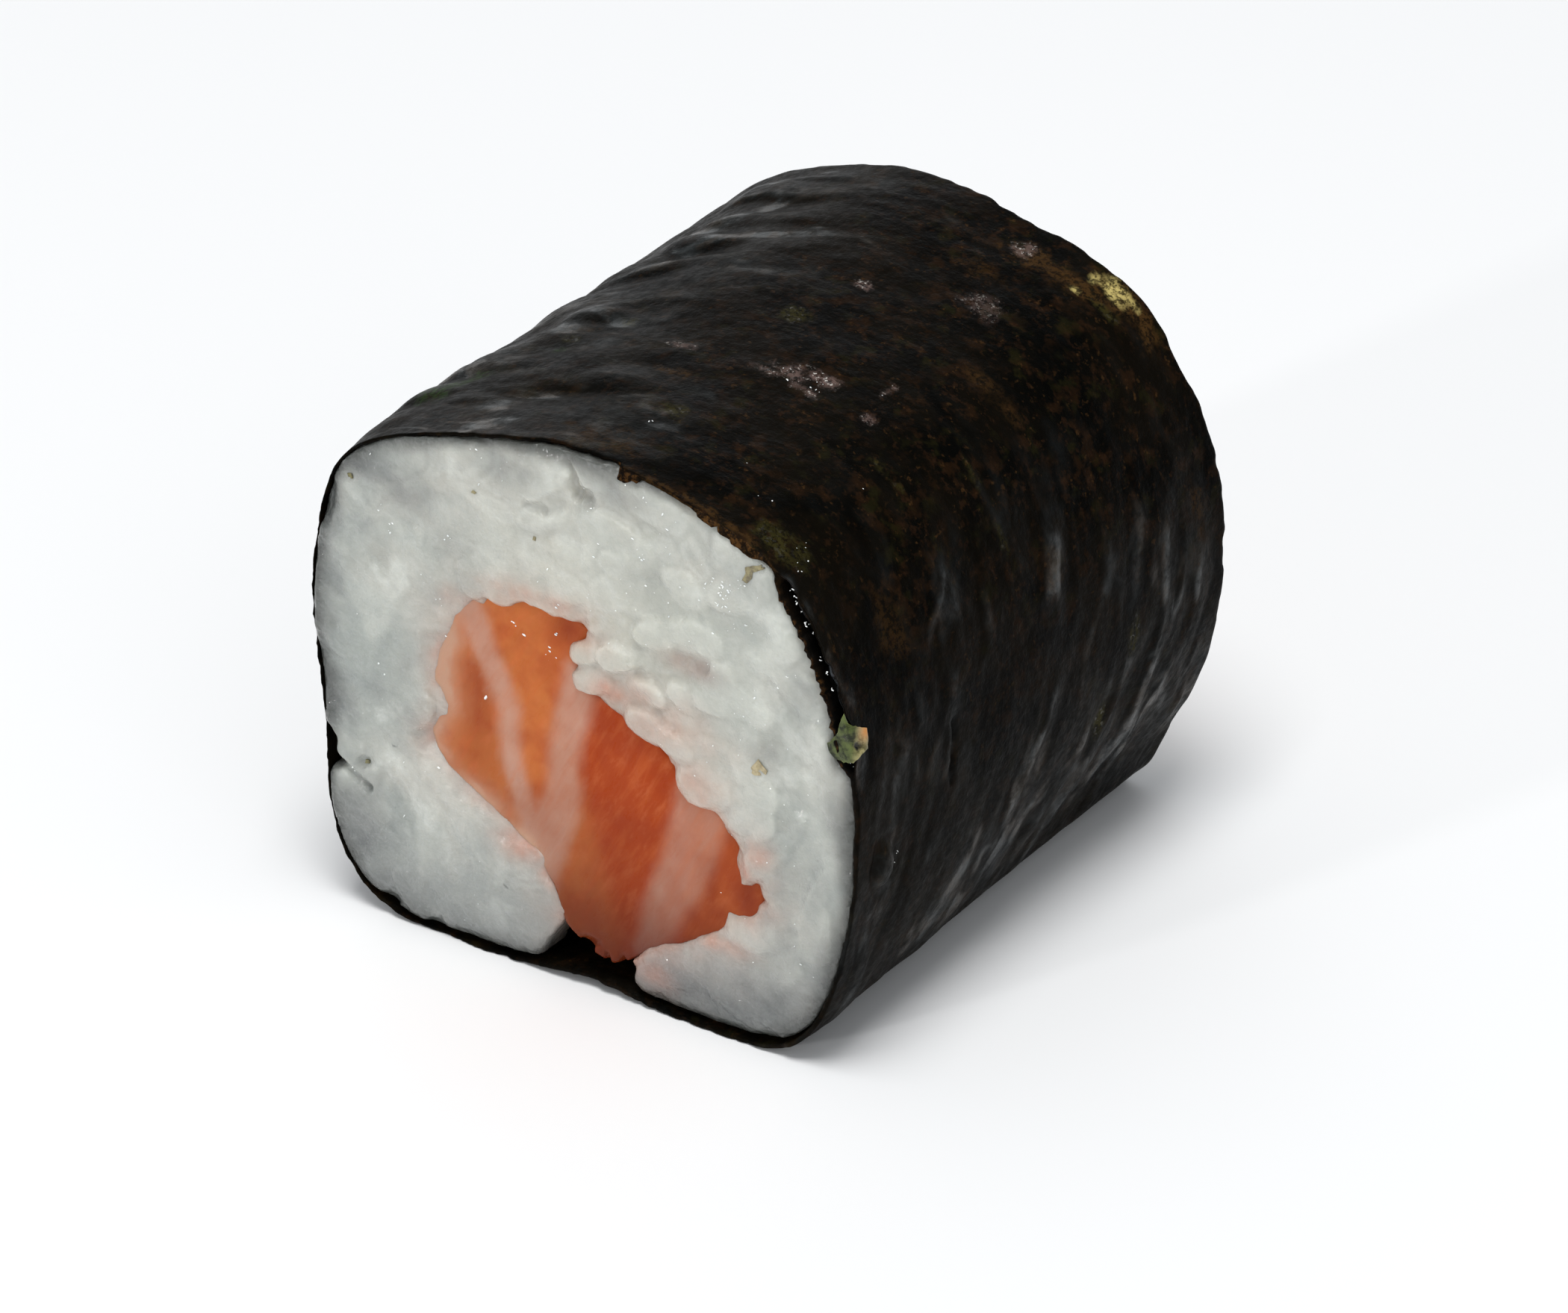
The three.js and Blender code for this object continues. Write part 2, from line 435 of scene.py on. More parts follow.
RELIEF_ROOM = 0.16  # the sheet lies this far inside the CAD outside, which its highest ridges reach
RIM_SETBACK = 0.14  # how far behind the two cut faces the sheet's rims lie
SHEET_COLUMNS = 560
SHEET_ROWS = 154
NEAR_RIM_ROWS = 11
FAR_RIM_ROWS = 4
LAP_RIM_ROWS = 12  # rows next to the near rim that the lap's torn outer layer may push back
INNER_SHARES = (1.0, 0.91, 0.87, 0.13, 0.09, 0.0)  # rows of the inner face, from the far rim to the near one
INNER_DIPS = (0.0, 0.0, 0.3, 0.3, 0.0, 0.0)  # how far each lies further in, clear of the valleys outside
LAP_FROM, LAP_TO = 9, 44  # degrees: where the sheet's end lies over its start
SEAM_SHARE = 0.72  # how far round, from +X, distances along the sheet jump back: under the roll
CREST_AT = 60  # degrees where the streaks reach furthest back; they lean to both sides of it

# Marks on the seaweed. Each kind has a seed, a colour and how much of the sheet's own it hides at most.
# Then come the places: degrees, y, half the length round the roll, half the width along Y, and strength.
MARKS = {
    "olive": (52, (54, 50, 22), 0.85, [
        (85, -7.85, 0.9, 0.5, 0.6), (49.5, -11.3, 0.9, 0.7, 0.9), (46.5, -10.9, 0.6, 0.6, 0.7),
        (49.5, -4.75, 0.9, 0.12, 0.8), (29, -1.15, 0.6, 0.12, 0.7), (87.5, 0.65, 0.6, 0.4, 0.7),
        (-17, 4.25, 0.9, 0.3, 0.8), (-3, 5.65, 0.7, 0.3, 0.6), (51, 10.25, 0.7, 0.25, 0.8),
        (115.5, -1.95, 0.5, 0.3, 0.6), (122.5, -3.65, 0.5, 0.3, 0.6), (41.5, -1.05, 0.8, 0.12, 0.6),
    ]),
    "green": (53, (36, 54, 22), 0.8, [
        (134, -8.3, 0.9, 0.9, 1.0), (131, -7.2, 0.6, 0.7, 0.9), (122, -4.6, 0.3, 0.25, 0.8),
    ]),
    "amber": (54, (72, 50, 24), 0.75, [
        (52.5, 2.65, 1.1, 0.4, 0.45), (46.5, 2.5, 0.9, 0.5, 0.3), (65, 10.4, 1.4, 0.8, 0.8),
        (57.5, 10.5, 1.2, 0.6, 0.9), (49, 11.4, 1.8, 0.7, 1.0), (70, 8.2, 1.2, 0.5, 0.4),
        (27, -8.35, 1.2, 0.8, 0.35), (70, -12.25, 2.6, 0.16, 0.6), (60, -12.2, 2.0, 0.22, 0.8),
        (12, 10.5, 1.0, 0.4, 0.4), (90, -10.9, 2.0, 0.9, 0.3), (95, -5.2, 0.8, 0.25, 0.7),
    ]),
    "pink": (51, (104, 86, 80), 0.85, [
        (80, -3.35, 0.6, 0.16, 0.75), (75.5, -2.9, 0.75, 0.36, 0.85), (71.5, -2.4, 0.7, 0.3, 1.0),
        (71, -3.4, 0.6, 0.2, 0.7), (69, -2.1, 0.3, 0.12, 1.0), (58.5, -3.05, 0.25, 0.3, 0.7),
        (61, -1.35, 0.15, 0.3, 0.6), (61, -0.65, 0.15, 0.15, 0.8), (64, 6.25, 1.0, 0.7, 0.3),
        (83.5, 4.05, 0.42, 0.2, 1.0), (69, 10.5, 0.55, 0.4, 0.7), (98.5, -3.35, 0.7, 0.22, 0.5),
    ]),
    "pale": (55, (196, 178, 110), 0.95, [
        (52.3, 11.5, 0.8, 0.5, 1.0), (49.6, 11.7, 0.6, 0.3, 0.8), (56.5, 10.1, 0.2, 0.15, 0.8),
    ]),
}
# Pale patches of painted sheen, standing in for the wet film's reflection, in the same measures.
PAINTED_SHEEN_MARKS = [
    (43.5, -12.1, 0.5, 0.35, 0.9), (38, -12.0, 0.7, 0.22, 0.6), (26, -12.0, 0.8, 0.3, 1.0),
    (22, -11.7, 0.5, 0.4, 0.7), (8, -12.0, 0.7, 0.5, 0.8), (96, -8.2, 2.0, 0.5, 0.3),
    (88, -6.2, 2.4, 0.4, 0.3), (82, -9.0, 1.6, 0.3, 0.3), (-32, 4.0, 2.4, 5.0, 0.55),
    (-36, -3.5, 1.8, 4.0, 0.55), (-24, 8.0, 3.0, 1.6, 0.5),
]
# Pale painted sheen in the lap's furrow: degrees, half width, and how far in from the outside as a share of
# the rim.
FURROW_SHEEN_MARKS = [(43.0, 1.6, 0.25), (38.5, 1.2, 0.30), (26.5, 2.0, 0.20), (21.5, 1.2, 0.30)]
# Long streaks of painted sheen along wrinkles: from (degrees, y) to (degrees, y), half width and strength.
SHEEN_STREAKS = [
    (36, 2.9, 10, 0.6, 0.30, 0.9), (28, 7.6, 2, 5.4, 0.35, 0.7), (33, -4.6, 20, -7.0, 0.22, 0.8),
    (20, -2.8, 8, -4.2, 0.22, 0.7), (18, 4.6, -8, 2.2, 0.35, 0.6), (12, -9.0, -22, -10.2, 0.4, 0.5),
    (4, 9.6, -30, 5.8, 0.5, 0.8), (-14, -2.5, -36, -5.5, 0.6, 0.7), (14, -6.2, -12, -8.2, 0.25, 0.6),
    (-20, 8.4, -40, 5.0, 0.7, 0.8), (-26, 1.0, -40, -2.0, 0.7, 0.8),
]
SLIT = (5.5, -6.0, -7, -6.3, 0.10)  # a slit in the right side, painted black as shade, in the same measures
BURIED_GRAIN = (-13, -10.55, 1.0, 0.6)  # a grain under the sheet: degrees, y and half sizes
BURIED_HEIGHT = 0.26
# Tabs of the near rim that hang over the rice: degrees, half length round the rim, and drop.
RIM_TABS = [(79.3, 0.42, 0.42), (76.5, 0.25, 0.2), (61, 0.5, 0.16), (56.5, 0.35, 0.2), (52.5, 0.7, 0.3)]
# Soft flecks of brown, rust and olive: bumps to a mm, the noise they start at, colour and cover.
FLECKS = [
    (1.2, 0.50, (38, 23, 10), 0.6), (2.6, 0.54, (50, 31, 17), 0.4),
    (1.0, 0.54, (27, 25, 8), 0.65), (3.4, 0.60, (88, 61, 32), 0.35),
]

# The directions of the sheet's columns of points, and how far round the outside each is from +X.
TURN = np.linspace(0, 2 * np.pi, SHEET_COLUMNS, endpoint=False)
ARC = np.cumsum(outside(TURN, 0 * TURN)) * (TURN[1] - TURN[0])
WHOLE_ARC = ARC[-1]


def run_of(arc):
    """Distance along the sheet for a distance round the roll."""
    return np.where(arc > SEAM_SHARE * WHOLE_ARC, arc - WHOLE_ARC, arc)


def run_at(degrees):
    """Distance along the sheet at a direction."""
    return run_of(np.interp(math.radians(degrees % 360), TURN, ARC))


def across_at(run, y):
    """A measure across the sheet's streaks, which lean away from the crest on both sides."""
    return y + 3.2 * np.hypot(1, (run - run_at(CREST_AT)) / 12)


def signed_degrees(angle):
    return np.degrees(np.mod(angle + np.pi, 2 * np.pi) - np.pi)


def on_ring(angle, bumps, seed):
    """Noise that closes on itself round the roll."""
    return lattice_noise(np.cos(angle) * bumps, np.sin(angle) * bumps, 0, seed)


def lap_share(degrees):
    """1 where the sheet is doubled, 0 elsewhere."""
    return between(degrees, LAP_FROM - 2, LAP_FROM + 2, LAP_TO - 2, LAP_TO + 3)


def sheet_thickness(angle):
    """Thickness of the seaweed, doubled at the lap, thinner up the left side."""
    degrees = signed_degrees(angle)
    thin = 0.11 * bell(np.mod(degrees, 360) - 180, 60)
    thin = thin + 0.06 * bell(degrees - 75, 22) + 0.04 * bell(degrees + 20, 20)
    uneven = 0.19 - thin + 0.025 * on_ring(angle, 9, 17) + 0.02 * on_ring(angle, 26, 18)
    return uneven + 0.46 * lap_share(degrees)


def inside_sheet(x, y, z):
    """How far a point is inside the seaweed's inner face."""
    angle = direction(x, z)
    return outside(angle, y) - RELIEF_ROOM - sheet_thickness(angle) - np.hypot(x - MIDDLE[0], z - MIDDLE[1])


def near_rim(angle):
    """y of the seaweed's near edge, slightly ragged."""
    ragged = 0.05 * on_ring(angle, 8, 21) + 0.04 * on_ring(angle, 30, 22) + 0.04 * on_ring(angle, 60, 20)
    degrees = signed_degrees(angle)
    step_back = 0.28 * between(degrees, 80, 81, 96, 104)
    return NEAR_FACE + RIM_SETBACK + ragged + step_back + 0.10 * bell(np.mod(degrees, 360) - 175, 45)


def far_rim(angle, z):
    """y of its far edge, torn back over the right shoulder."""
    ragged = 0.10 * on_ring(angle, 7, 23) + 0.07 * on_ring(angle, 28, 24)
    degrees = signed_degrees(angle)
    torn = 0.15 * between(degrees, 30, 36, 80, 83)
    return FAR_LEVEL + FAR_LEAN * z - RIM_SETBACK - 0.05 - ragged - torn


def marks(table, run, y, seed):
    """How strongly each point is in one of a table of ragged marks."""
    strength = np.zeros(run.shape)
    warp = 0.6 * sheet_noise(run, y, 0.5, 0.5, seed, 3)
    for degrees, middle, half_round, half_along, share in table:
        away = np.hypot((run - run_at(degrees)) / half_round, (y - middle) / half_along)
        strength = np.maximum(strength, share * (1 - step_up(away + 0.8 * warp, 0.35, 1.35)))
    return strength


def streaks(run, y):
    """Streaks of painted sheen that wander along a wrinkle, thin at both ends."""
    strength = np.zeros(run.shape)
    wander = 0.35 * sheet_noise(run, y, 2.5, 3.0, 71, 2)
    for start, start_y, end, end_y, width, share in SHEEN_STREAKS:
        a, b = run_at(start), run_at(end)
        t = np.clip((run - a) / (b - a), 0, 1)
        past_end = np.maximum(0, np.abs(run - (a + b) / 2) - abs(b - a) / 2)
        away = np.hypot(y + wander - start_y - t * (end_y - start_y), past_end)
        strength = np.maximum(strength, share * bell(away, width) * np.sin(np.pi * (0.12 + 0.76 * t)))
    return strength


def slit_strength(run, y):
    """1 along the dark slit, falling to 0 beside it and at its ends."""
    start, start_y, end, end_y, half_width = SLIT
    t = np.clip((run - run_at(start)) / (run_at(end) - run_at(start)), 0, 1)
    away = y - start_y - t * (end_y - start_y) + 0.1 * sheet_noise(run, 0, 0.7, 1.0, 77)
    slit = bell(np.hypot(away, (np.abs(t - 0.5) == 0.5) * 0.5), half_width)
    return slit * np.sin(np.pi * np.clip(t, 0.02, 0.98)) ** 0.3


def from_buried_grain(run, y):
    """Distance from the grain under the sheet, in its own half sizes."""
    degrees, middle, half_round, half_along = BURIED_GRAIN
    away = np.hypot((run - run_at(degrees)) / half_round, (y - middle) / half_along)
    return away + 0.12 * sheet_noise(run, y, 0.5, 0.5, 78, 2)


def sheet_relief(s, across, degrees):
    """Height of the seaweed over its mean, the share that is a wrinkle's crest, and how wet it is, which also
    places painted sheen.
    """
    left = bell(degrees - 126, 34)
    right = bell(degrees + 12, 42)
    warp = 0.6 * sheet_noise(s, across, 4.5, 3.0, 31, 2)
    presence = step_up(sheet_noise(s, across, 5.0, 2.6, 38), -0.6, 0.3)
    ridge = lattice_noise(s / 3.4 + warp, (across + warp) / 1.15, 0, 32)
    small = lattice_noise(s / 1.6 + warp, (across + 0.7 * warp) / 0.45, 0, 34)
    wet_sheen = (left + right) * (0.25 + 0.75 * presence)
    height = wet_sheen * (0.11 + 0.13 * left) * ridge + wet_sheen * 0.045 * small + 0.006 * small
    height = height + 0.07 * sheet_noise(s, across, 3.2, 2.4, 36)
    height = height + 0.09 * sheet_noise(s, across, 7.5, 5.5, 37)
    height = height + 0.025 * (1 - wet_sheen) * sheet_noise(s, across, 0.8, 0.8, 39, 2)
    height = height + 0.12 * left * sheet_noise(s, across, 2.4, 1.5, 40)
    crest = wet_sheen * step_up(0.6 * ridge + 0.4 * small, 0.0, 0.8)
    return height - 0.03, crest, wet_sheen


def closed_relief(arc, y, degrees):
    """sheet_relief, faded into its own shifted copy under the roll, so that the ring closes."""
    blend = step_up(arc / WHOLE_ARC, SEAM_SHARE - 0.02, SEAM_SHARE + 0.08)
    here, shifted = (sheet_relief(s, across_at(s, y), degrees) for s in (arc, arc - WHOLE_ARC))
    return [a * (1 - blend) + b * blend for a, b in zip(here, shifted)]


def rim_shares(rows):
    """How far through the sheet each row of a rim is, leaving out both faces."""
    return (np.arange(rows) + 1)[None, :] / (rows + 1)


def rim_tabs():
    """How far the near rim hangs over the rice, for each column."""
    drop = np.zeros(ARC.shape)
    for degrees, half_length, most in RIM_TABS:
        off = (ARC - run_at(degrees)) / half_length + 0.2 * on_ring(TURN, 70, 46)
        drop = np.maximum(drop, most * (1 - step_up(np.abs(off), 0.6, 1.1)))
    return drop[:, None]


def ring_faces(columns, rows):
    """Faces of a closed tube of points, column by column."""
    column, row = np.meshgrid(np.arange(columns), np.arange(rows), indexing="ij")
    next_column, next_row = (column + 1) % columns, (row + 1) % rows
    corners = ((column, row), (next_column, row), (next_column, next_row), (column, next_row))
    return np.stack([c * rows + r for c, r in corners], -1).reshape(-1, 4).tolist()


def make_seaweed():
    # the outer face, with the roll's directions down the columns and Y along the rows
    share = np.linspace(0, 1, SHEET_ROWS)
    share = share - 0.05 * np.sin(2 * np.pi * share)  # closer rows at both rims
    angle, along = np.meshgrid(TURN, share, indexing="ij")
    z_guess = MIDDLE[1] + outside(angle, angle * 0) * np.sin(angle)
    start, end = near_rim(angle), far_rim(angle, z_guess)
    y = start + (end - start) * along
    degrees = signed_degrees(angle)
    arc = ARC[:, None] + 0 * y
    run = run_of(arc)
    turn = TURN[:, None]
    thick = sheet_thickness(turn)

    # its relief
    height, crest, wet_sheen = closed_relief(arc, y, degrees)
    sheen_streak = streaks(run, y)
    height = height + 0.05 * sheen_streak
    rim = np.minimum(y - start, end - y)
    height = height * (0.3 + 0.7 * step_up(rim, 0, 1.0))
    flat = 1 - step_up(z_guess, 0.0, 1.6)  # where the roll rests
    top = RELIEF_ROOM + 0.14 * bell(degrees - 138, 22)
    bottom = -0.6 * thick - 0.3 * step_up(rim, 2.2, 3.8)
    height = smooth_max(smooth_min(height * (1 - flat), top, 0.06), bottom, 0.05)
    from_grain = from_buried_grain(run, y)
    height = height + BURIED_HEIGHT * (1 - step_up(from_grain, 0.45, 1.1))
    height = height - 0.06 * bell(from_grain - 1.25, 0.18)
    slit = slit_strength(run, y)
    height = height - 0.22 * slit
    radius = outside(angle, y) - RELIEF_ROOM * (1 - flat) + height

    # the near rim's front, with the furrow between the two layers of the lap; q is 1 at its inner side
    lap = lap_share(signed_degrees(turn))
    q = rim_shares(NEAR_RIM_ROWS)[:, ::-1]
    furrow = bell(q - 0.48 - 0.08 * on_ring(turn, 20, 41), 0.19)
    outer_back = 0.22 + 0.14 * on_ring(turn, 24, 43)
    tabs = rim_tabs()
    teeth = 0.05 * on_ring(turn, 60, 44) + 0.05 * on_ring(turn, 110, 45)
    inner_edge = lap * (0.02 + 1.3 * teeth) + 0.3 * teeth + tabs
    near_y, near_radius = start[:, :1], radius[:, :1]
    rim_y = near_y - 0.05 * np.sin(np.pi * q)
    rim_y = rim_y + lap * (outer_back * (1 - step_up(q, 0.34, 0.50)) + 0.55 * furrow)
    rim_y = rim_y - 0.10 * (tabs > 0.08) * step_up(q, 0.5, 0.9)
    rim_radius = near_radius - q * (thick + inner_edge)

    # the inner face and the far rim
    pushed = np.maximum(y[:, :LAP_RIM_ROWS], y[:, :1] + lap * outer_back)
    y = np.concatenate([pushed, y[:, LAP_RIM_ROWS:]], 1)
    inner_y = near_y + (end - start)[:, :1] * np.array(INNER_SHARES)
    inner_radius = outside(turn + 0 * inner_y, inner_y) - RELIEF_ROOM - thick - np.array(INNER_DIPS)
    inner_radius[:, -1:] = near_radius - thick - inner_edge
    far_q = rim_shares(FAR_RIM_ROWS)
    far_y = end[:, :1] + 0.03 * np.sin(np.pi * far_q)
    far_radius = radius[:, -1:] - far_q * thick

    all_y = np.concatenate([y, far_y, inner_y, rim_y], 1)
    all_radius = np.concatenate([radius, far_radius, inner_radius, rim_radius], 1)
    points = np.stack([MIDDLE[0] + all_radius * np.cos(turn), all_y,
                       MIDDLE[1] + all_radius * np.sin(turn)], -1)
    points = np.clip(points, BOX_LOW, BOX_HIGH).reshape(-1, 3)
    faces = ring_faces(*all_y.shape)
    piece = new_piece("seaweed_sheet", points, faces, seaweed_material())

    def store(name, outer_value, front=0.0):
        side = np.zeros((SHEET_COLUMNS, FAR_RIM_ROWS + len(INNER_SHARES)))
        front = np.zeros((SHEET_COLUMNS, NEAR_RIM_ROWS)) + front
        set_values(piece, name, np.concatenate([outer_value, side, front], 1).ravel())

    rim_degrees = signed_degrees(turn)
    store("run", run, run_of(ARC)[:, None])
    store("across", across_at(run, y), y[:, :1])
    # painted sheen on wrinkle crests, sheen streaks, marks and round the buried grain; the coat is glossiest
    # there too
    gloss_and_painted_sheen = crest + sheen_streak + marks(PAINTED_SHEEN_MARKS, run, y, 56) + 0.5 * bell(from_grain - 0.6, 0.5)
    store("gloss_and_painted_sheen", np.clip(gloss_and_painted_sheen, 0, 1), 0.25 * bell(rim_degrees + 30, 40))
    store("wet_sheen", np.clip(wet_sheen * (0.42 + 0.78 * step_up(degrees, 40, 90)), 0, 1))
    furrow_sheen = sum(bell(rim_degrees - at, half) * bell(q - depth, 0.13) for at, half, depth in FURROW_SHEEN_MARKS)
    store("furrow_sheen", 0 * y, furrow_sheen)
    for name, (seed, _, _, table) in MARKS.items():
        front = 0.9 * bell(rim_degrees - 60, 14) if name == "amber" else 0.0
        store(name, marks(table, run, y, seed), front)
    # painted shade in the slit and in the lap's furrow
    store("painted_shade", np.clip(slit, 0, 1), np.clip(lap * bell(q - 0.50, 0.32), 0, 1))
    store("russet", 0 * y, lap * step_up(q, 0.76, 0.9) + 0.6 * (tabs > 0.05))
    calm = 0.8 * bell(degrees - 32, 13) * bell(y + 10.5, 2.2)
    store("shoulder", bell(degrees - 55, 38) * (1 - calm))
    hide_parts("nori")


def seaweed_material():
    n = Nodes("wet_seaweed")
    where = n.place()
    patch = n.noise(where, 0.7, 3.0, 0.6)
    base = n.mix(n.ramp(n.noise(where, 0.24, 4.0, 0.6, 0.3), 0.40, 0.60), (3, 3, 2), (11, 8, 4))
    # flecks lie thick over the shoulder and thin elsewhere
    shoulder = n.ramp(n.value("shoulder"), 0.0, 0.9, 0.4, 1.0)
    patches = n.ramp(patch, 0.36, 0.60, 0.15, 1.0)
    for scale, low, tint, top in FLECKS:
        fleck = n.ramp(n.noise(where, scale, 3.0, 0.6), low, low + 0.14, 0.0, top)
        base = n.mix(n.times(n.times(fleck, shoulder), patches), base, tint)
    # painted sheen: a pale tint along the wet streaks that stands in for their reflection; it also sets the
    # coat
    threads = n.ramp(n.noise(n.flow(0.30, 0.65), 1.0, 1.5, 0.5, 0.8), 0.32, 0.68)
    wisps = n.ramp(n.noise(n.flow(0.22, 0.55), 1.0, 2.0, 0.5, 0.9), 0.52, 0.72)
    breaks = n.ramp(n.noise(where, 1.1, 4.0, 0.65, 0.3), 0.32, 0.64, 0.3, 1.0)
    gloss_and_painted_sheen = n.times(n.most(n.times(n.value("gloss_and_painted_sheen"), threads), n.times(n.value("wet_sheen"), wisps)), breaks)
    painted_sheen_tint = n.mix(n.ramp(patch, 0.42, 0.58), (59, 64, 65), (71, 63, 54))
    base = n.mix(n.times(gloss_and_painted_sheen, 0.55), base, painted_sheen_tint)
    # the marks
    speckle = n.noise(where, 4.2, 5.0, 0.75)
    # the furrow's pale grey-blue tint is painted sheen
    tints = [(name, tint, top) for name, (_, tint, top, _) in MARKS.items()] + [("furrow_sheen", (88, 93, 98), 0.9)]
    for name, tint, top in tints:
        base = n.mix(n.times(n.value(name), n.ramp(speckle, 0.42, 0.56, 0.10 * top, top)), base, tint)
    # painted glints: near-white specks over the pink marks
    painted_glint = n.ramp(n.noise(where, 6.0, 3.0, 0.7), 0.58, 0.66)
    russet = n.times(n.value("russet"), n.ramp(speckle, 0.40, 0.58, 0.35, 0.9))
    base = n.coats(
        base,
        (n.times(n.times(n.value("pink"), painted_glint), 0.9), (210, 204, 196)),
        (russet, n.mix(n.ramp(speckle, 0.48, 0.60), (22, 13, 8), (84, 56, 28))),
        # painted shade in the slit and the furrow
        (n.value("painted_shade"), (3, 3, 3)),
    )
    pores = n.noise(where, 3.0, 4.0, 0.65)
    normal = n.bump(n.noise(n.flow(0.55, 1.4), 1.0, 2.0, 0.5, 0.8), 0.06, 0.4)
    normal = n.bump(pores, 0.09, 0.5, normal)
    crumbs = n.most(n.value("olive"), n.value("pink"))
    drops = n.times(n.ramp(n.noise(where, 4.6, 2.0, 0.6), 0.56, 0.66, 0.0, 0.8), crumbs)
    coat = n.most(n.ramp(gloss_and_painted_sheen, 0.0, 0.8, 0.01, 0.48), n.times(n.value("wet_sheen"), 0.08))
    n.set(Base_Color=base, Roughness=n.ramp(pores, 0.35, 0.7, 0.35, 0.55), Normal=normal,
          Specular_IOR_Level=0.015, Coat_Weight=n.most(coat, drops), Coat_Roughness=0.22, Coat_Normal=normal)
    return n.material


# ---------------------------------------------------------------- rice

SLAB = 2.0  # depth of real grains at each end, over the core
CORE_SHARE = 0.88  # the core's length as a share of the roll's
GRAIN_HALF_LENGTH = 1.5
GRAIN_RADIUS = 1.05
GRAIN_TRIES = 9000
GRAIN_SPACING = 1.3
GRAIN_ROOM = (0.6, 0.5, 0.2)  # how far each middle stays from the sheet, the salmon and the bare floor
PASTE_DEPTH = 0.16  # the starchy paste between grains lies this far behind the cut
CUT_CLEARANCE = 0.012  # nothing comes nearer to the plane of the cut
BLOCK_MARGIN = 0.2  # room round the roll in each block of voxels
NEAR_SECTION, FAR_SECTION = LOW[1] + 0.3, HIGH[1] - 1.0  # y of the CAD sections, clear of its uneven cuts

# What shows of the salmon at the near cut, inside the rice that laps over its edge: (x, z).
VISIBLE_SALMON = [
    (-5.5, 13.9), (-4.9, 14.5), (-4.2, 14.7), (-3.4, 15.2), (-2.8, 15.5), (-2.2, 15.1), (-1.2, 15.0),
    (-0.4, 15.05), (0.1, 15.25), (0.35, 14.9), (0.0, 14.5), (-0.6, 14.1), (-0.65, 13.6), (-0.3, 13.3),
    (-0.5, 12.9), (-0.2, 12.4), (0.3, 12.15), (1.6, 12.1), (1.8, 11.7), (2.2, 11.4), (2.8, 11.05),
    (3.5, 10.95), (4.0, 10.5), (4.3, 9.8), (4.8, 9.3), (5.6, 9.1), (6.1, 9.3), (6.3, 8.9), (6.6, 8.5),
    (7.2, 8.3), (7.4, 7.9), (7.1, 7.3), (7.0, 6.55), (7.5, 6.55), (7.9, 7.0), (7.75, 6.4), (8.1, 6.2),
    (7.8, 5.9), (7.5, 5.4), (6.9, 5.2), (6.4, 5.2), (6.4, 4.8), (6.1, 4.2), (5.4, 3.95), (4.6, 3.6),
    (4.0, 3.0), (3.0, 2.45), (2.5, 2.0), (2.2, 1.6), (1.9, 1.3), (1.2, 1.25), (0.9, 1.5), (0.2, 1.8),
    (-0.5, 2.1), (-0.7, 2.9), (-1.3, 3.7), (-1.65, 4.7), (-2.8, 5.55), (-3.6, 6.15), (-4.4, 6.6),
    (-5.6, 7.35), (-6.6, 8.15), (-6.35, 8.8), (-5.65, 9.9), (-6.0, 10.8), (-6.1, 11.9), (-5.6, 12.9),
]

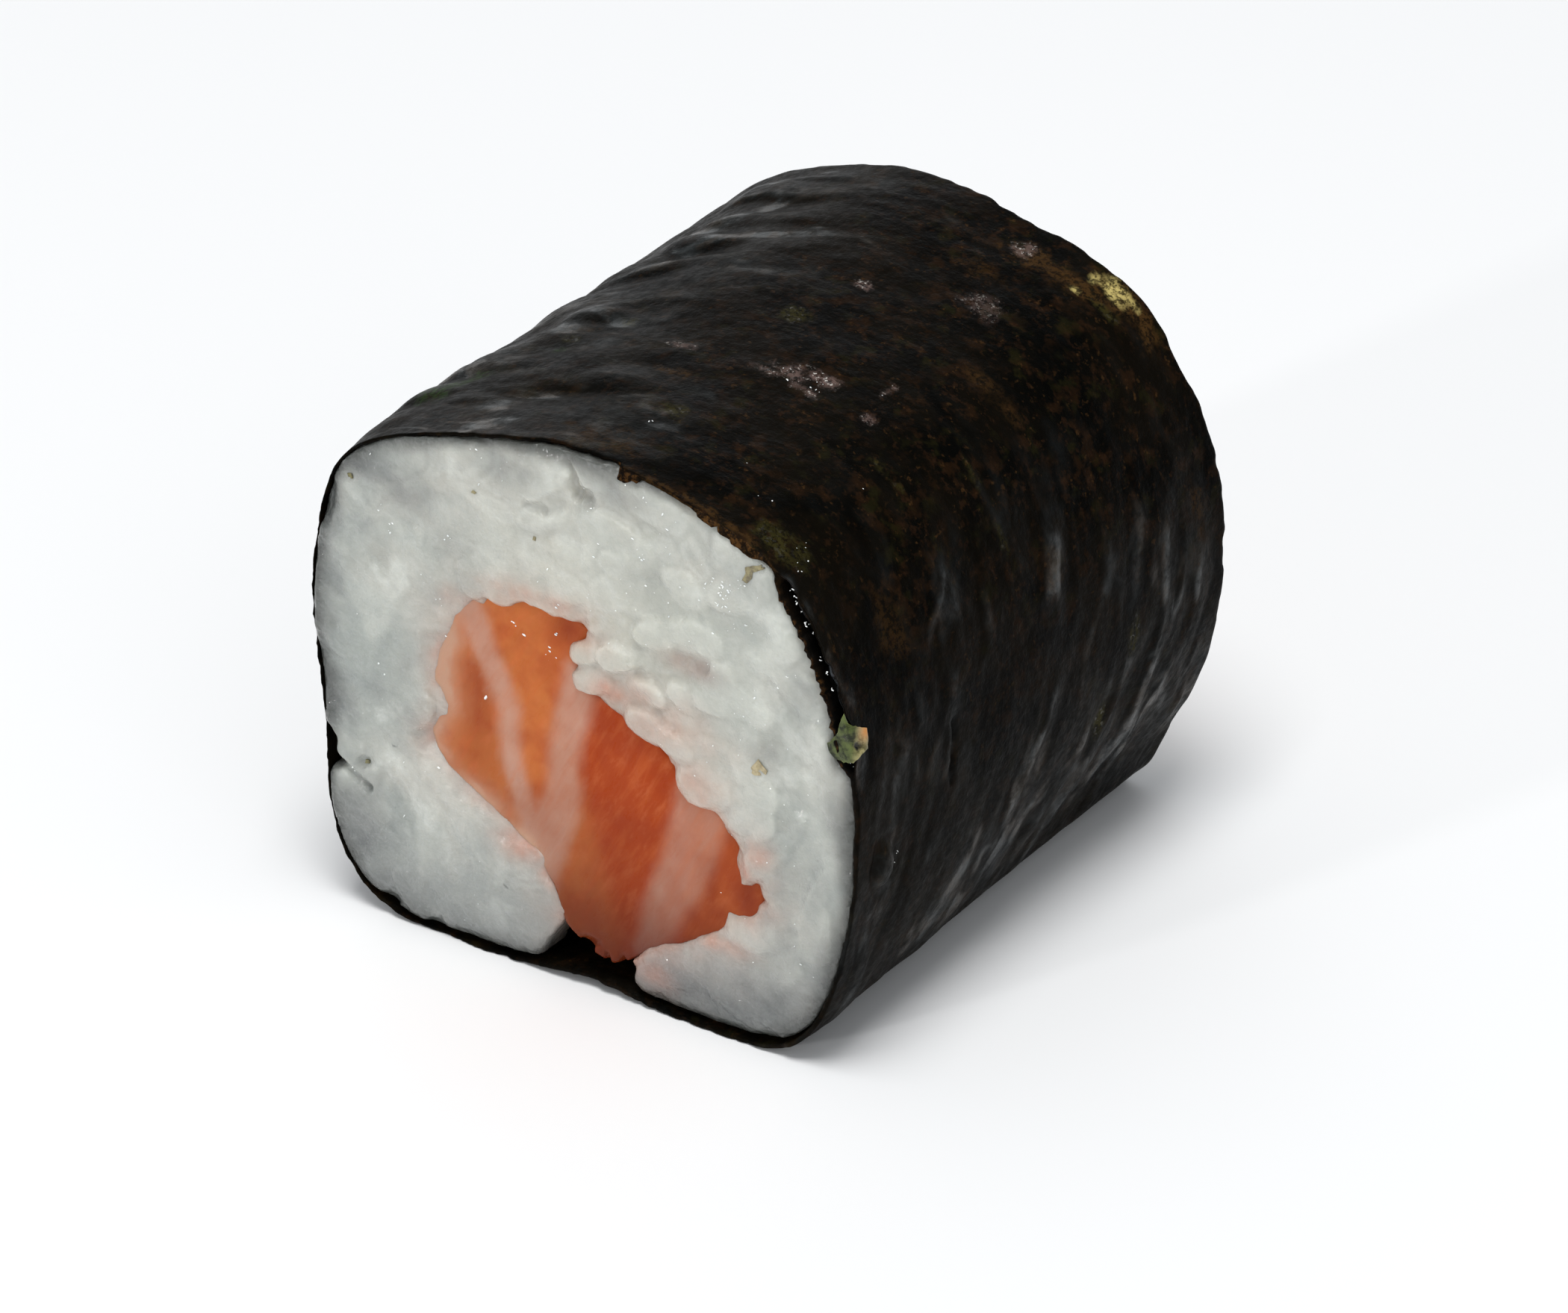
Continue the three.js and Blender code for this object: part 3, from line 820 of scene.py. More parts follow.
# Grains that stand out of the near cut: both ends of the axis (x, z), radius and lift behind the cut.
LEADING_GRAINS = [
    (-3.6, 20.35, -1.75, 20.85, 1.22, 0.0), (-5.4, 20.3, -4.3, 20.7, 0.7, 0.06),
    (0.95, 19.6, 2.9, 18.9, 0.75, 0.03), (2.6, 21.0, 4.4, 20.7, 0.62, 0.16),
    (-4.7, 15.2, -4.6, 16.3, 0.6, 0.02), (-6.4, 14.6, -6.1, 15.8, 0.65, 0.12),
    (1.35, 14.15, 2.7, 15.0, 0.68, 0.02), (-0.15, 13.75, 0.6, 14.2, 0.42, 0.08),
    (0.0, 12.75, 1.0, 13.0, 0.5, 0.10), (2.5, 12.0, 3.6, 11.75, 0.66, 0.02),
    (4.9, 10.1, 5.9, 10.1, 0.85, 0.04), (7.1, 9.6, 8.2, 10.6, 0.8, 0.10),
    (4.4, 16.2, 5.9, 16.25, 0.68, 0.0), (7.75, 7.7, 8.3, 7.2, 0.62, 0.04), (7.1, 4.6, 8.3, 4.9, 0.7, 0.06),
    (3.2, 1.75, 5.0, 2.5, 0.88, 0.05), (6.3, 1.9, 7.8, 1.7, 0.85, 0.14),
    (-2.9, 2.0, -1.9, 2.75, 1.08, 0.03), (-4.6, 1.5, -4.0, 2.2, 0.8, 0.12),
    (-7.7, 1.9, -7.5, 2.9, 0.65, 0.12), (-6.0, 1.6, -5.8, 2.6, 0.7, 0.16),
    (-9.3, 2.2, -8.8, 3.2, 0.75, 0.12), (-10.1, 7.1, -9.3, 7.9, 0.7, 0.08),
    (-10.2, 4.4, -9.2, 4.5, 0.7, 0.10), (-10.2, 16.6, -10.0, 17.4, 0.66, 0.05),
    (-11.35, 15.65, -10.5, 15.1, 0.2, 0.04), (-7.6, 15.5, -6.6, 15.6, 0.6, 0.05),
    (-3.4, 4.3, -2.2, 4.5, 0.7, 0.14), (10.7, 12.6, 10.2, 13.8, 0.65, 0.06),
    (10.0, 14.9, 9.3, 15.9, 0.7, 0.10), (4.3, 13.7, 5.2, 13.5, 0.55, 0.06),
    (1.2, 16.9, 2.5, 17.3, 0.75, 0.10), (-0.6, 17.2, -2.2, 17.5, 0.8, 0.14),
    (6.3, 18.3, 7.6, 18.9, 0.75, 0.08), (5.6, 13.9, 7.0, 14.2, 0.7, 0.04),
    (2.9, 15.6, 4.0, 16.0, 0.6, 0.02), (1.5, 18.2, 2.6, 17.9, 0.55, 0.02),
    (4.2, 18.3, 5.3, 17.9, 0.6, 0.03), (-0.9, 16.2, 0.2, 16.5, 0.5, 0.03),
    (2.6, 13.3, 3.5, 13.2, 0.5, 0.04), (3.9, 11.6, 4.7, 11.3, 0.5, 0.03),
    (6.4, 11.7, 7.4, 11.3, 0.55, 0.05), (8.4, 16.4, 9.2, 17.0, 0.55, 0.05),
    (-6.6, 6.6, -5.4, 6.1, 0.62, 0.12), (9.9, 3.4, 10.3, 4.9, 0.7, 0.12),
]

# Hollows in the near cut: both ends (x, z), half width and depth.
HOLLOWS = [
    (-0.25, 21.5, -0.05, 20.7, 0.12, 0.42), (0.05, 20.4, 0.5, 20.55, 0.12, 0.38),
    (-1.3, 19.45, -0.7, 19.7, 0.06, 0.20), (-2.2, 19.4, -1.5, 19.35, 0.05, 0.18),
    (4.5, 15.2, 5.5, 15.25, 0.22, 0.18), (-11.5, 7.0, -11.3, 5.9, 0.36, 0.95),
    (-11.0, 5.85, -9.6, 5.25, 0.10, 0.4), (-9.8, 6.2, -9.65, 6.25, 0.12, 0.3),
    (-9.1, 0.3, -8.8, 0.6, 0.22, 0.4), (-6.9, 0.2, -6.5, 0.4, 0.2, 0.3),
    (-11.15, 17.5, -11.5, 16.1, 0.2, 0.3),
]

# Where there is no rice, only salmon down to the sheet.
BARE_FLOOR = [(-2.0, 0.1), (-1.75, 0.9), (-0.75, 2.6), (0.3, 2.3), (2.4, 1.5), (2.3, 0.9), (2.6, 0.1)]

# Soft spots: x, z, half width, half height and strength. Here salmon glows through thin rice.
BLUSHES = [
    (-1.5, 15.6, 1.9, 0.6, 0.5), (1.5, 12.75, 1.2, 0.7, 0.75), (2.4, 13.1, 1.1, 0.7, 0.5),
    (4.2, 12.3, 1.6, 1.2, 0.35), (4.9, 15.0, 1.2, 0.5, 0.3), (-2.4, 5.1, 1.4, 0.8, 0.75),
    (7.9, 8.2, 0.7, 0.7, 0.7), (3.3, 1.6, 1.0, 0.8, 0.35), (3.0, 11.9, 1.6, 1.1, 0.4),
    (5.2, 10.1, 1.4, 1.2, 0.4), (7.4, 7.3, 0.5, 0.7, 0.5), (-1.2, 4.4, 0.8, 0.9, 0.75),
    (-3.6, 15.6, 1.0, 0.5, 0.35), (6.2, 3.9, 1.4, 0.5, 0.5), (-5.6, 14.4, 0.7, 0.7, 0.4),
    (5.6, 12.0, 1.6, 0.8, 0.2),
]
# Here the rice is clear and looks grey, and painted shade darkens it where little light reaches, as at the
# bottom.
CLEAR_AND_SHADED_ZONES = [
    (-9.2, 18.8, 2.2, 0.7, 0.8), (-7.8, 18.5, 1.7, 1.3, 0.55), (-11.4, 16.5, 0.9, 1.5, 1.0),
    (-11.7, 14.9, 0.5, 1.0, 0.8), (-11.3, 13.0, 1.0, 2.8, 0.55), (-11.0, 8.6, 1.1, 1.3, 0.8),
    (-10.0, 3.6, 1.3, 2.0, 1.0), (-8.6, 1.3, 2.2, 0.9, 0.75), (-5.0, 0.9, 2.4, 0.7, 0.5),
    (5.5, 1.0, 4.0, 1.3, 1.0), (8.5, 1.6, 2.0, 1.6, 0.85), (10.2, 7.3, 1.2, 2.6, 0.4),
    (11.4, 10.6, 0.7, 2.4, 0.55), (11.0, 4.0, 1.0, 2.2, 0.75), (1.9, 20.9, 1.6, 0.7, 0.45),
    (0.6, 20.3, 0.4, 0.3, 0.6), (-3.0, 20.6, 1.5, 0.8, 0.5), (-6.6, 20.4, 0.7, 0.8, 0.4),
    (-9.6, 16.4, 0.7, 0.5, 0.4), (7.5, 19.2, 1.4, 0.8, 0.2), (9.9, 15.4, 0.9, 1.6, 0.25),
    (-9.3, 9.6, 0.8, 0.5, 0.3), (-7.6, 8.9, 0.6, 0.4, 0.3), (9.4, 5.4, 1.5, 2.6, 0.35),
    (5.4, 14.9, 1.2, 0.45, 0.5), (3.0, 18.0, 1.2, 0.5, 0.25), (-5.4, 17.0, 1.2, 0.7, 0.25),
    (8.3, 12.4, 1.0, 0.7, 0.25),
]
# Here rice and salmon are flush, so that one fades into the other.
FADED_BORDERS = [
    (-6.2, 11.7, 1.4, 2.6, 1.0), (-6.5, 8.6, 1.2, 1.5, 0.7), (-4.6, 6.5, 1.8, 1.0, 0.7),
    (-2.6, 5.0, 1.2, 1.0, 0.9),
]
DEEPER_SPOT = (2.5, 13.0, 5.0, 3.0, 1.0)  # here grains and paste lie further back
WARM_SPOTS = [(1.0, 15.5, 5.5, 4.5, 1.0), (6.0, 10.0, 3.0, 5.0, 0.3)]  # here the rice is warmer in colour


class End:
    """One end of the roll: which way is in, its voxels, and maps of its section over them."""

    def __init__(self, near, voxel, rice_seed, salmon_seed):
        self.near = near
        self.rice_seed = rice_seed
        self.salmon_seed = salmon_seed
        low, high = LOW - BLOCK_MARGIN, HIGH + BLOCK_MARGIN
        if near:
            high[1] = LOW[1] + SLAB
        else:
            low[1] = HIGH[1] - SLAB - 0.4  # with room for the far face's lean
        self.block = Block(low, high, voxel)
        self.back = high[1] - 3 * voxel if near else low[1] + 3 * voxel
        x, z = self.block.x, self.block.z
        section_y = NEAR_SECTION if near else FAR_SECTION
        self.salmon = outline_distance(section("salmon", section_y), x, z)
        self.wall = inside_sheet(x, section_y, z)
        self.bare = outline_distance(closed_edges(BARE_FLOOR), x, z)
        shown = outline_distance(closed_edges(VISIBLE_SALMON), x, z) if near else self.salmon
        self.shown = shown + 0.13 * face_noise(x, z, 0.6, 0.6, rice_seed + 6, 2)
        self.fading = spots(FADED_BORDERS, x, z) if near else 0 * x
        self.deeper = spots([DEEPER_SPOT], x, z) * (1 - self.fading) * near
        self.lumpy = step_up(x + 0.3 * (z - 10), -5, 2)  # 0 at the left, where the knife smeared the rice

    def depth(self, y, z):
        """How far a point is behind the cut face."""
        return y - NEAR_FACE if self.near else FAR_LEVEL + FAR_LEAN * z - y

    def behind(self, y):
        """How far a point is past the back of the slab."""
        return y - self.back if self.near else self.back - y

    def front_of(self, solid):
        """A function that gives the depth of a solid's surface behind the near cut, at (x, z)."""
        first = np.argmax(solid < 0, axis=1, keepdims=True)
        depths = self.block.axes[1][first] - self.block.size / 2 - NEAR_FACE
        return lambda x, z: float(self.look_up(depths, x, z))

    def look_up(self, plane, x, z):
        """The value of a map at (x, z)."""
        i = int(round((x - self.block.low[0]) / self.block.size))
        j = int(round((z - self.block.low[2]) / self.block.size))
        return plane[i, 0, j]


def scattered_grains(end, rng, leaders):
    """Grains packed at random: middle, direction, radius, half length, and lift behind the cut."""
    grains = []
    middles = np.zeros((0, 3))
    for _ in range(GRAIN_TRIES):
        x, z = rng.uniform(LOW[0], HIGH[0]), rng.uniform(0.5, HIGH[2])
        depth = rng.uniform(0.45, SLAB - 0.4)
        aim = rng.normal(size=3) * [1.0, 0.5, 1.0]
        radius = GRAIN_RADIUS * rng.uniform(0.8, 1.1)
        half = GRAIN_HALF_LENGTH * rng.uniform(0.7, 1.15)
        lift = rng.uniform(0.08, 0.34)
        y = NEAR_FACE + depth if end.near else FAR_LEVEL + FAR_LEAN * z - depth
        room = [end.look_up(plane, x, z) for plane in (end.wall, end.salmon, end.bare)]
        if any(here < least for here, least in zip(room, GRAIN_ROOM)):
            continue
        middle = np.array([x, y, z])
        if len(middles) and np.linalg.norm(middles - middle, axis=1).min() < GRAIN_SPACING:
            continue
        if any(np.hypot(x - (ax + bx) / 2, z - (az + bz) / 2) < r + 0.45 for ax, az, bx, bz, r, _ in leaders):
            continue
        out = np.array([x - MIDDLE[0], 0, z - MIDDLE[1]])
        out /= np.linalg.norm(out)
        aim -= out * (aim @ out) * 0.85 * (1 - step_up(room[0], 1.0, 2.0))
        aim /= np.linalg.norm(aim)
        grains.append((middle, aim, radius, half, lift + 0.12 * end.look_up(end.deeper, x, z)))
        middles = np.array([g[0] for g in grains])
    return grains


def leading_grains(leaders):
    """The grains of a table, in the same measures."""
    grains = []
    for ax, az, bx, bz, radius, lift in leaders:
        length = math.hypot(bx - ax, bz - az)
        middle = np.array([(ax + bx) / 2, NEAR_FACE + 0.5 * radius, (az + bz) / 2])
        grains.append((middle, np.array([bx - ax, 0, bz - az]) / length, radius, length / 2, lift))
    return grains


def rice_levels(end):
    """Maps of how far the grains and the paste between them lie behind the cut."""
    x, z, seed = end.block.x, end.block.z, end.rice_seed
    left = bell(np.mod(np.degrees(direction(x, z)), 360) - 180, 50)
    flush = end.fading * (1 - step_up(end.shown, 0.3, 1.2))
    grains = 0.05 * face_noise(x, z, 1.4, 1.4, seed + 5, 3)
    grains = grains + 0.18 * (1 - left) * (1 - step_up(end.wall, 0.0, 0.55))
    grains = grains + 0.10 * (1 - step_up(end.shown, 0.0, 0.4))
    grains = grains * (1 - flush) + 0.30 * flush
    hills = 0.07 * face_noise(x, z, 2.4, 2.4, seed + 7, 3)
    hills = hills + (0.025 + 0.02 * end.lumpy) * face_noise(x, z, 0.9, 0.9, seed + 13, 3)
    paste = (PASTE_DEPTH * (0.5 + 0.4 * end.lumpy) + grains + hills) * (1 - flush) + 0.19 * flush
    paste = paste + 0.14 * end.deeper
    thin_out = 0.20 * end.fading * (1 - step_up(end.shown, -0.15, 0.75))  # down to the salmon's level
    return grains, paste + thin_out


def fuse_grains(end, grains, front, rng):
    """Grains melted together: signed distance, how far apart the two nearest are, and a tone for each."""
    first = np.full(end.block.shape, 9.0, np.float32)
    second = np.full(end.block.shape, 9.0, np.float32)
    tone = np.zeros(end.block.shape, np.float32)
    weight = np.full(end.block.shape, 1e-6, np.float32)
    for middle, aim, radius, half, lift in grains:
        room = np.abs(aim) * half + radius + 0.4
        part = end.block.around(middle - room, middle + room)
        x, y, z = end.block.part(part)
        dx, dy, dz = x - middle[0], y - middle[1], z - middle[2]
        t = np.clip((dx * aim[0] + dy * aim[1] + dz * aim[2]) / half, -1, 1)
        off = np.sqrt(sum((d - t * half * a) ** 2 for d, a in zip((dx, dy, dz), aim)))
        grain = off - radius * (1 - 0.2 * t * t)
        tilt_x, tilt_z = rng.normal(0, 0.14, 2)
        cut = 0.03 + lift + tilt_x * dx + tilt_z * dz
        cut = cut + 0.65 * front[part[0], :, part[2]] - end.depth(y, z)
        grain = smooth_max(grain, cut, 0.22)
        before = first[part]
        second[part] = np.minimum(second[part], np.maximum(before, grain))
        first[part] = smooth_min(before, grain, 0.28)
        near_skin = np.exp(-np.clip(grain, -0.5, 2) / 0.12)
        tone[part] += near_skin * rng.uniform(-1, 1)
        weight[part] += near_skin
    return first, second - first, tone / weight


def carve_hollows(end, solid, hollows):
    """Takes rounded grooves out of a solid at the cut."""
    for ax, az, bx, bz, half_width, deep in hollows:
        room = half_width + 0.5
        low = [min(ax, bx) - room, end.block.low[1], min(az, bz) - room]
        high = [max(ax, bx) + room, end.block.axes[1][-1], max(az, bz) + room]
        part = end.block.around(np.array(low), np.array(high))
        x, y, z = end.block.part(part)
        dx, dz, _ = from_stretch(x, z, ax, az, bx, bz)
        away = np.hypot(dx, dz) - half_width + 0.10 * face_noise(x, z, 0.4, 0.4, end.rice_seed + 8)
        solid[part] = smooth_max(solid[part], -smooth_max(away, end.depth(y, z) - deep, 0.3), 0.36)


def build_rice_end(end):
    """Grains fused into one surface, with the values that its material reads."""
    rng = np.random.default_rng(end.rice_seed)
    block, seed = end.block, end.rice_seed
    x, y, z = block.x, block.y, block.z
    depth = end.depth(y, z)
    leaders = LEADING_GRAINS if end.near else []
    grains = scattered_grains(end, rng, leaders) + leading_grains(leaders)
    grain_front, paste_front = rice_levels(end)
    first, seam, tone = fuse_grains(end, grains, grain_front, rng)

    over_salmon = end.shown + 0.45 * end.fading
    region = np.minimum(0.1 - end.salmon, np.maximum(-over_salmon, depth - 0.55))
    paste = smooth_max(region, paste_front - depth, 0.2)
    solid = smooth_min(first, paste, 0.22)
    carve_hollows(end, solid, HOLLOWS if end.near else [])
    skin = 0.026 * layered_noise(x / 0.5, y / 0.5, z / 0.5, seed + 9, 2)
    solid = smooth_max(solid + skin, 0.04 - end.wall, 0.10)
    solid = smooth_max(solid, 0.06 * face_noise(x, z, 0.6, 0.6, seed + 4) - end.bare, 0.3)
    solid = np.maximum(solid, np.maximum(CUT_CLEARANCE - depth, end.behind(y)))
    points, faces = block.surface(solid)
    end.rice_front = end.front_of(solid)

    px, pz = points[:, 0], points[:, 2]
    wall = block.sample_map(end.wall, points)
    blush = 0.42 * fade(block.sample_map(end.shown, points), 0.7)
    blush = np.maximum(blush, block.sample_map(end.fading * fade(end.shown, 0.7), points))
    # painted shade: greyer near the sheet
    grey = 0.5 * (1 - step_up(wall, 0.1, 1.6))
    if end.near:
        blush = np.maximum(blush, spots(BLUSHES, px, pz))
        grey = spots(CLEAR_AND_SHADED_ZONES, px, pz)
    less_shade_upper_right = 0.9 * bell(np.degrees(direction(px, pz)) - 42, 24)  # less painted shade by the sheet at the upper right
    return points, faces, {
        "grey": grey * (1 + 0.25 * face_noise(px, pz, 0.9, 0.9, seed + 14, 3)),
        "tone": block.sample(tone, points),
        "seam": block.sample(np.clip(seam, 0, 1), points),
        "blush": blush * (1 + 0.35 * face_noise(px, pz, 0.8, 0.8, seed + 11, 3)),
        "edge": wall * (1 + 0.3 * face_noise(px, pz, 1.5, 1.5, seed + 12, 3)) + less_shade_upper_right,
        "deep": end.depth(points[:, 1], pz),
        "warm": sum(spots([spot], px, pz) for spot in WARM_SPOTS),
        "lumpy": block.sample_map(end.lumpy, points),
        # painted shade: darker towards the bottom, most at the right
        "low": (0.7 + 0.3 * step_up(px, 0, 4)) * (1 - step_up(pz, 0.3, 6.5)),
    }


def join_ends(name, ends, core_node, material):
    """One piece from the detailed ends and a plain, shortened copy of the CAD solid between them."""
    corners, triangles = node_mesh(core_node)
    core = corners * [1, CORE_SHARE, 1]
    faces = []
    base = 0
    for end_points, end_faces, _ in ends:
        faces += [[i + base for i in f] for f in end_faces]
        base += len(end_points)
    faces += (triangles + base).tolist()
    piece = new_piece(name, np.concatenate([e[0] for e in ends] + [core]), faces, material)
    for value in ends[0][2]:
        set_values(piece, value, np.concatenate([e[2][value] for e in ends] + [np.full(len(core), 1.0)]))
    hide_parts(core_node)


def rice_material():
    n = Nodes("cooked_rice")
    where = n.place()
    cloud = n.noise(where, 0.20, 3.0)
    mist = n.noise(where, 0.6, 3.0, 0.55)
    fine = n.noise(where, 3.6, 4.0, 0.6)
    deep, seam, lumpy = n.value("deep"), n.value("seam"), n.value("lumpy")
    rim_highlight = n.times(n.ramp(seam, 0.06, 0.20), n.ramp(seam, 0.22, 0.42, 0.5, 0.0))  # painted highlight: pale beside each seam, along the grains' rims
    body = n.coats(
        n.mix(n.ramp(n.value("tone"), -0.8, 0.8), (155, 160, 154), (182, 185, 177)),
        (n.ramp(cloud, 0.42, 0.66, 0.0, 0.5), (178, 171, 160)),
        (n.ramp(mist, 0.48, 0.68, 0.0, 0.36), (146, 153, 150)),
        (n.ramp(mist, 0.46, 0.30, 0.0, 0.50), (210, 213, 206)),
        (n.times(n.value("warm"), 0.7), (190, 188, 174)),
        # painted shade where the rice lies further back among the lumps, and painted light on the lumps
        # nearest the cut
        (n.times(n.ramp(deep, 0.16, 0.36, 0.0, 0.4), lumpy), (146, 138, 124)),
        (n.times(n.ramp(deep, 0.13, 0.03, 0.0, 0.3), lumpy), (204, 206, 197)),
        # painted highlight along the grains' rims
        (n.times(rim_highlight, n.ramp(cloud, 0.40, 0.60, 0.1, 0.6)), (214, 216, 208)),
        # painted shade: darker towards the bottom, in the grey zones and against the sheet
        (n.times(n.value("low"), 0.70), (97, 97, 99)),
        (n.value("grey"), (98, 101, 100)),
        (n.ramp(n.value("edge"), 0.0, 0.95, 0.95, 0.0), (50, 52, 49)),
        # painted shade deep in the hollows
        (n.ramp(deep, 0.45, 1.0, 0.0, 0.6), (110, 104, 94)),
        (n.times(n.value("blush"), 0.9), (184, 116, 86)),
        (n.ramp(fine, 0.36, 0.62, 0.10, 0.0), (140, 146, 142)),
    )
    normal = n.bump(fine, 0.05, 0.5, n.bump(n.noise(where, 1.6, 4.0, 0.65), 0.12, 0.5))
    n.set(Base_Color=body, Roughness=n.ramp(fine, 0.35, 0.65, 0.28, 0.45), Normal=normal,
          Specular_IOR_Level=0.3, Subsurface_Weight=0.75, Subsurface_Radius=(1.0, 0.92, 0.82),
          Subsurface_Scale=0.6 * MM, Coat_Weight=0.8, Coat_Roughness=0.05,
          Coat_Normal=n.bump(n.noise(where, 2.6, 3.0, 0.5), 0.26, 1.0))
    return n.material


# ---------------------------------------------------------------- salmon

# Pale bands of fat across the salmon's cut: (x, z, width) from one end to the other.
FAT_BANDS = [
    [(-5.0, 14.2, 1.0), (-4.65, 13.5, 1.2), (-4.2, 12.5, 1.0), (-3.7, 11.6, 0.95), (-3.1, 10.4, 0.8),
     (-2.95, 9.0, 0.78), (-2.9, 8.0, 0.95), (-2.55, 6.9, 1.0), (-2.2, 6.0, 1.2), (-1.7, 5.0, 1.6)],
    [(-0.3, 13.1, 0.5), (-0.15, 12.0, 1.3), (-0.4, 11.0, 1.3), (-0.6, 10.0, 1.1), (-0.75, 9.0, 0.95),
     (-0.75, 8.0, 0.95), (-0.85, 7.2, 1.15), (-1.3, 6.2, 1.5), (-1.5, 5.2, 1.5), (-1.6, 4.0, 1.0)],
    [(5.2, 9.2, 2.0), (5.0, 8.0, 1.95), (4.8, 7.0, 1.9), (4.5, 6.0, 1.75), (4.0, 5.0, 1.55), (3.5, 4.0, 1.35),
     (3.1, 3.2, 1.1), (2.6, 2.4, 0.8)],
]
BAND_SOFTNESS = 0.38  # half the width over which a band fades into the meat
# Deeper red places, some of them painted shade under the rice that overhangs the salmon: x, z, half width,
# half height, strength.
RED_AND_SHADE_SPOTS = [
    (-4.7, 10.3, 0.9, 2.2, 0.6), (7.35, 6.0, 0.6, 0.8, 1.0), (1.2, 11.3, 1.0, 0.8, 0.5),
    (-0.4, 14.6, 1.0, 0.6, 0.8), (6.0, 5.0, 0.6, 0.5, 0.6), (5.75, 6.2, 0.25, 1.1, 0.7),
    (4.9, 4.55, 0.35, 0.5, 0.7), (1.0, 7.0, 1.6, 3.0, 0.3), (-2.8, 15.3, 0.6, 0.3, 0.5),
    (-5.2, 13.9, 0.35, 0.3, 0.35),
]


def band_strength(x, z):
    """1 in the middle of a fat band, 0 in the meat."""
    strength = np.zeros(x.shape)
    bend_x = x + 0.14 * face_noise(x, z, 1.8, 2.4, 61, 3)
    for band in FAT_BANDS:
        for (ax, az, a_width), (bx, bz, b_width) in zip(band, band[1:]):
            dx, dz, t = from_stretch(bend_x, z, ax, az, bx, bz)
            half = 1.15 * (a_width + (b_width - a_width) * t) / 2
            inside = 1 - step_up(np.hypot(dx, dz), half - BAND_SOFTNESS, half + BAND_SOFTNESS)
            strength = np.maximum(strength, inside)
    return strength


def build_salmon_end(end):
    """The slab's cut end, with the values that its material reads."""
    block, seed = end.block, end.salmon_seed
    x, y, z = block.x, block.y, block.z
    recess = 0.22 + 0.20 * step_up(0.6 * x + 0.8 * (z - 8.5), -2, 5)
    recess = recess + 0.07 * face_noise(x, z, 2.6, 3.2, seed, 3)
    recess = recess + 0.018 * face_noise(x - 0.5 * z, z, 0.4, 1.3, seed + 3, 3)
    torn = step_up(face_noise(x, z, 0.35, 0.5, seed + 4), -0.2, 0.5)
    recess = recess + 0.5 * (1 - step_up(z, 1.2, 2.4)) * torn
    recess = recess - 0.03 * band_strength(x, z)
    if end.near:
        border = end.fading * fade(np.abs(end.shown), 0.6)
        recess = recess * (1 - border) + 0.31 * border
    solid = smooth_max(end.salmon - 0.12, recess - end.depth(y, z), 0.28)
    solid = np.broadcast_to(np.maximum(solid, end.behind(y)), block.shape)
    points, faces = block.surface(solid)
    end.salmon_front = end.front_of(solid)

    px, pz = points[:, 0], points[:, 2]
    veil = np.zeros(len(px))
    if end.near:
        thin_rice = 0.95 * fade(-block.sample_map(end.shown, points), 0.42)
        veil = thin_rice * np.clip(1.3 * block.sample_map(end.fading, points), 0, 1)
    between_bands = between(px, -3.4, -2.6, -1.2, -0.2) * step_up(pz, 5.5, 9)
    return points, faces, {
        "fat": band_strength(px, pz) * (1 - 0.35 * step_up(px, 3, 5)),
        "redness": step_up(px + 0.28 * (pz - 9), -0.9, 0.5) * (1 - 0.35 * step_up(px, 4.2, 5.2)),
        "spots": spots(RED_AND_SHADE_SPOTS, px, pz),
        "veil": veil,
        # lighter meat between the left bands, and painted light along the top
        "paler_meat_and_top_light": np.clip(between_bands + step_up(pz, 12, 14), 0, 1),
        # painted shade towards the bottom
        "low": 1 - step_up(pz, 1.3, 5.5),
        "shade": 1 - step_up(pz, 2.5, 10.0),
    }


def salmon_material():
    n = Nodes("raw_salmon")
    where = n.place()
    streak = n.noise(n.place((2.4, 0.3, 0.4), (0.0, 0.50, 0.0)), 1.1, 5.0, 0.6, 0.3)
    cloud = n.noise(where, 0.5, 3.0)
    grain = n.noise(n.place((1.6, 0.5, 0.6), (0.0, 0.50, 0.0)), 1.6, 4.0, 0.65)
    meat = n.coats(
        n.mix(n.value("redness"), (178, 100, 50), (164, 64, 18)),
        # lighter meat between the left bands, and painted light along the top
        (n.times(n.value("paler_meat_and_top_light"), 0.7), (192, 108, 54)),
        (n.ramp(streak, 0.44, 0.68, 0.0, 0.45), (192, 98, 48)),
        (n.ramp(grain, 0.50, 0.70, 0.0, 0.35), (200, 112, 66)),
        (n.ramp(cloud, 0.45, 0.65, 0.0, 0.4), (146, 50, 16)),
        # deeper red, partly painted shade under the overhanging rice
        (n.times(n.value("spots"), 0.7), (122, 32, 8)),
    )
    fat = n.mix(n.ramp(cloud, 0.3, 0.7), (190, 146, 126), (178, 128, 106))
    look = n.coats(
        meat,
        (n.times(n.value("fat"), n.ramp(streak, 0.35, 0.7, 0.98, 0.75)), fat),
        (n.times(n.value("shade"), 0.45), (92, 38, 20)),
        (n.value("veil"), (186, 146, 122)),
        # painted shade towards the bottom
        (n.times(n.value("low"), 0.8), (80, 22, 9)),
    )
    n.set(Base_Color=look, Roughness=n.ramp(grain, 0.35, 0.65, 0.26, 0.42), Normal=n.bump(grain, 0.06, 0.4),
          Specular_IOR_Level=0.06, Subsurface_Weight=0.4, Subsurface_Radius=(0.9, 0.4, 0.25),
          Subsurface_Scale=0.5 * MM, Coat_Weight=0.12, Coat_Roughness=0.05,
          Coat_Normal=n.bump(n.noise(where, 1.4, 2.0, 0.5), 0.22, 1.0))
    return n.material


# ---------------------------------------------------------------- scraps and droplets

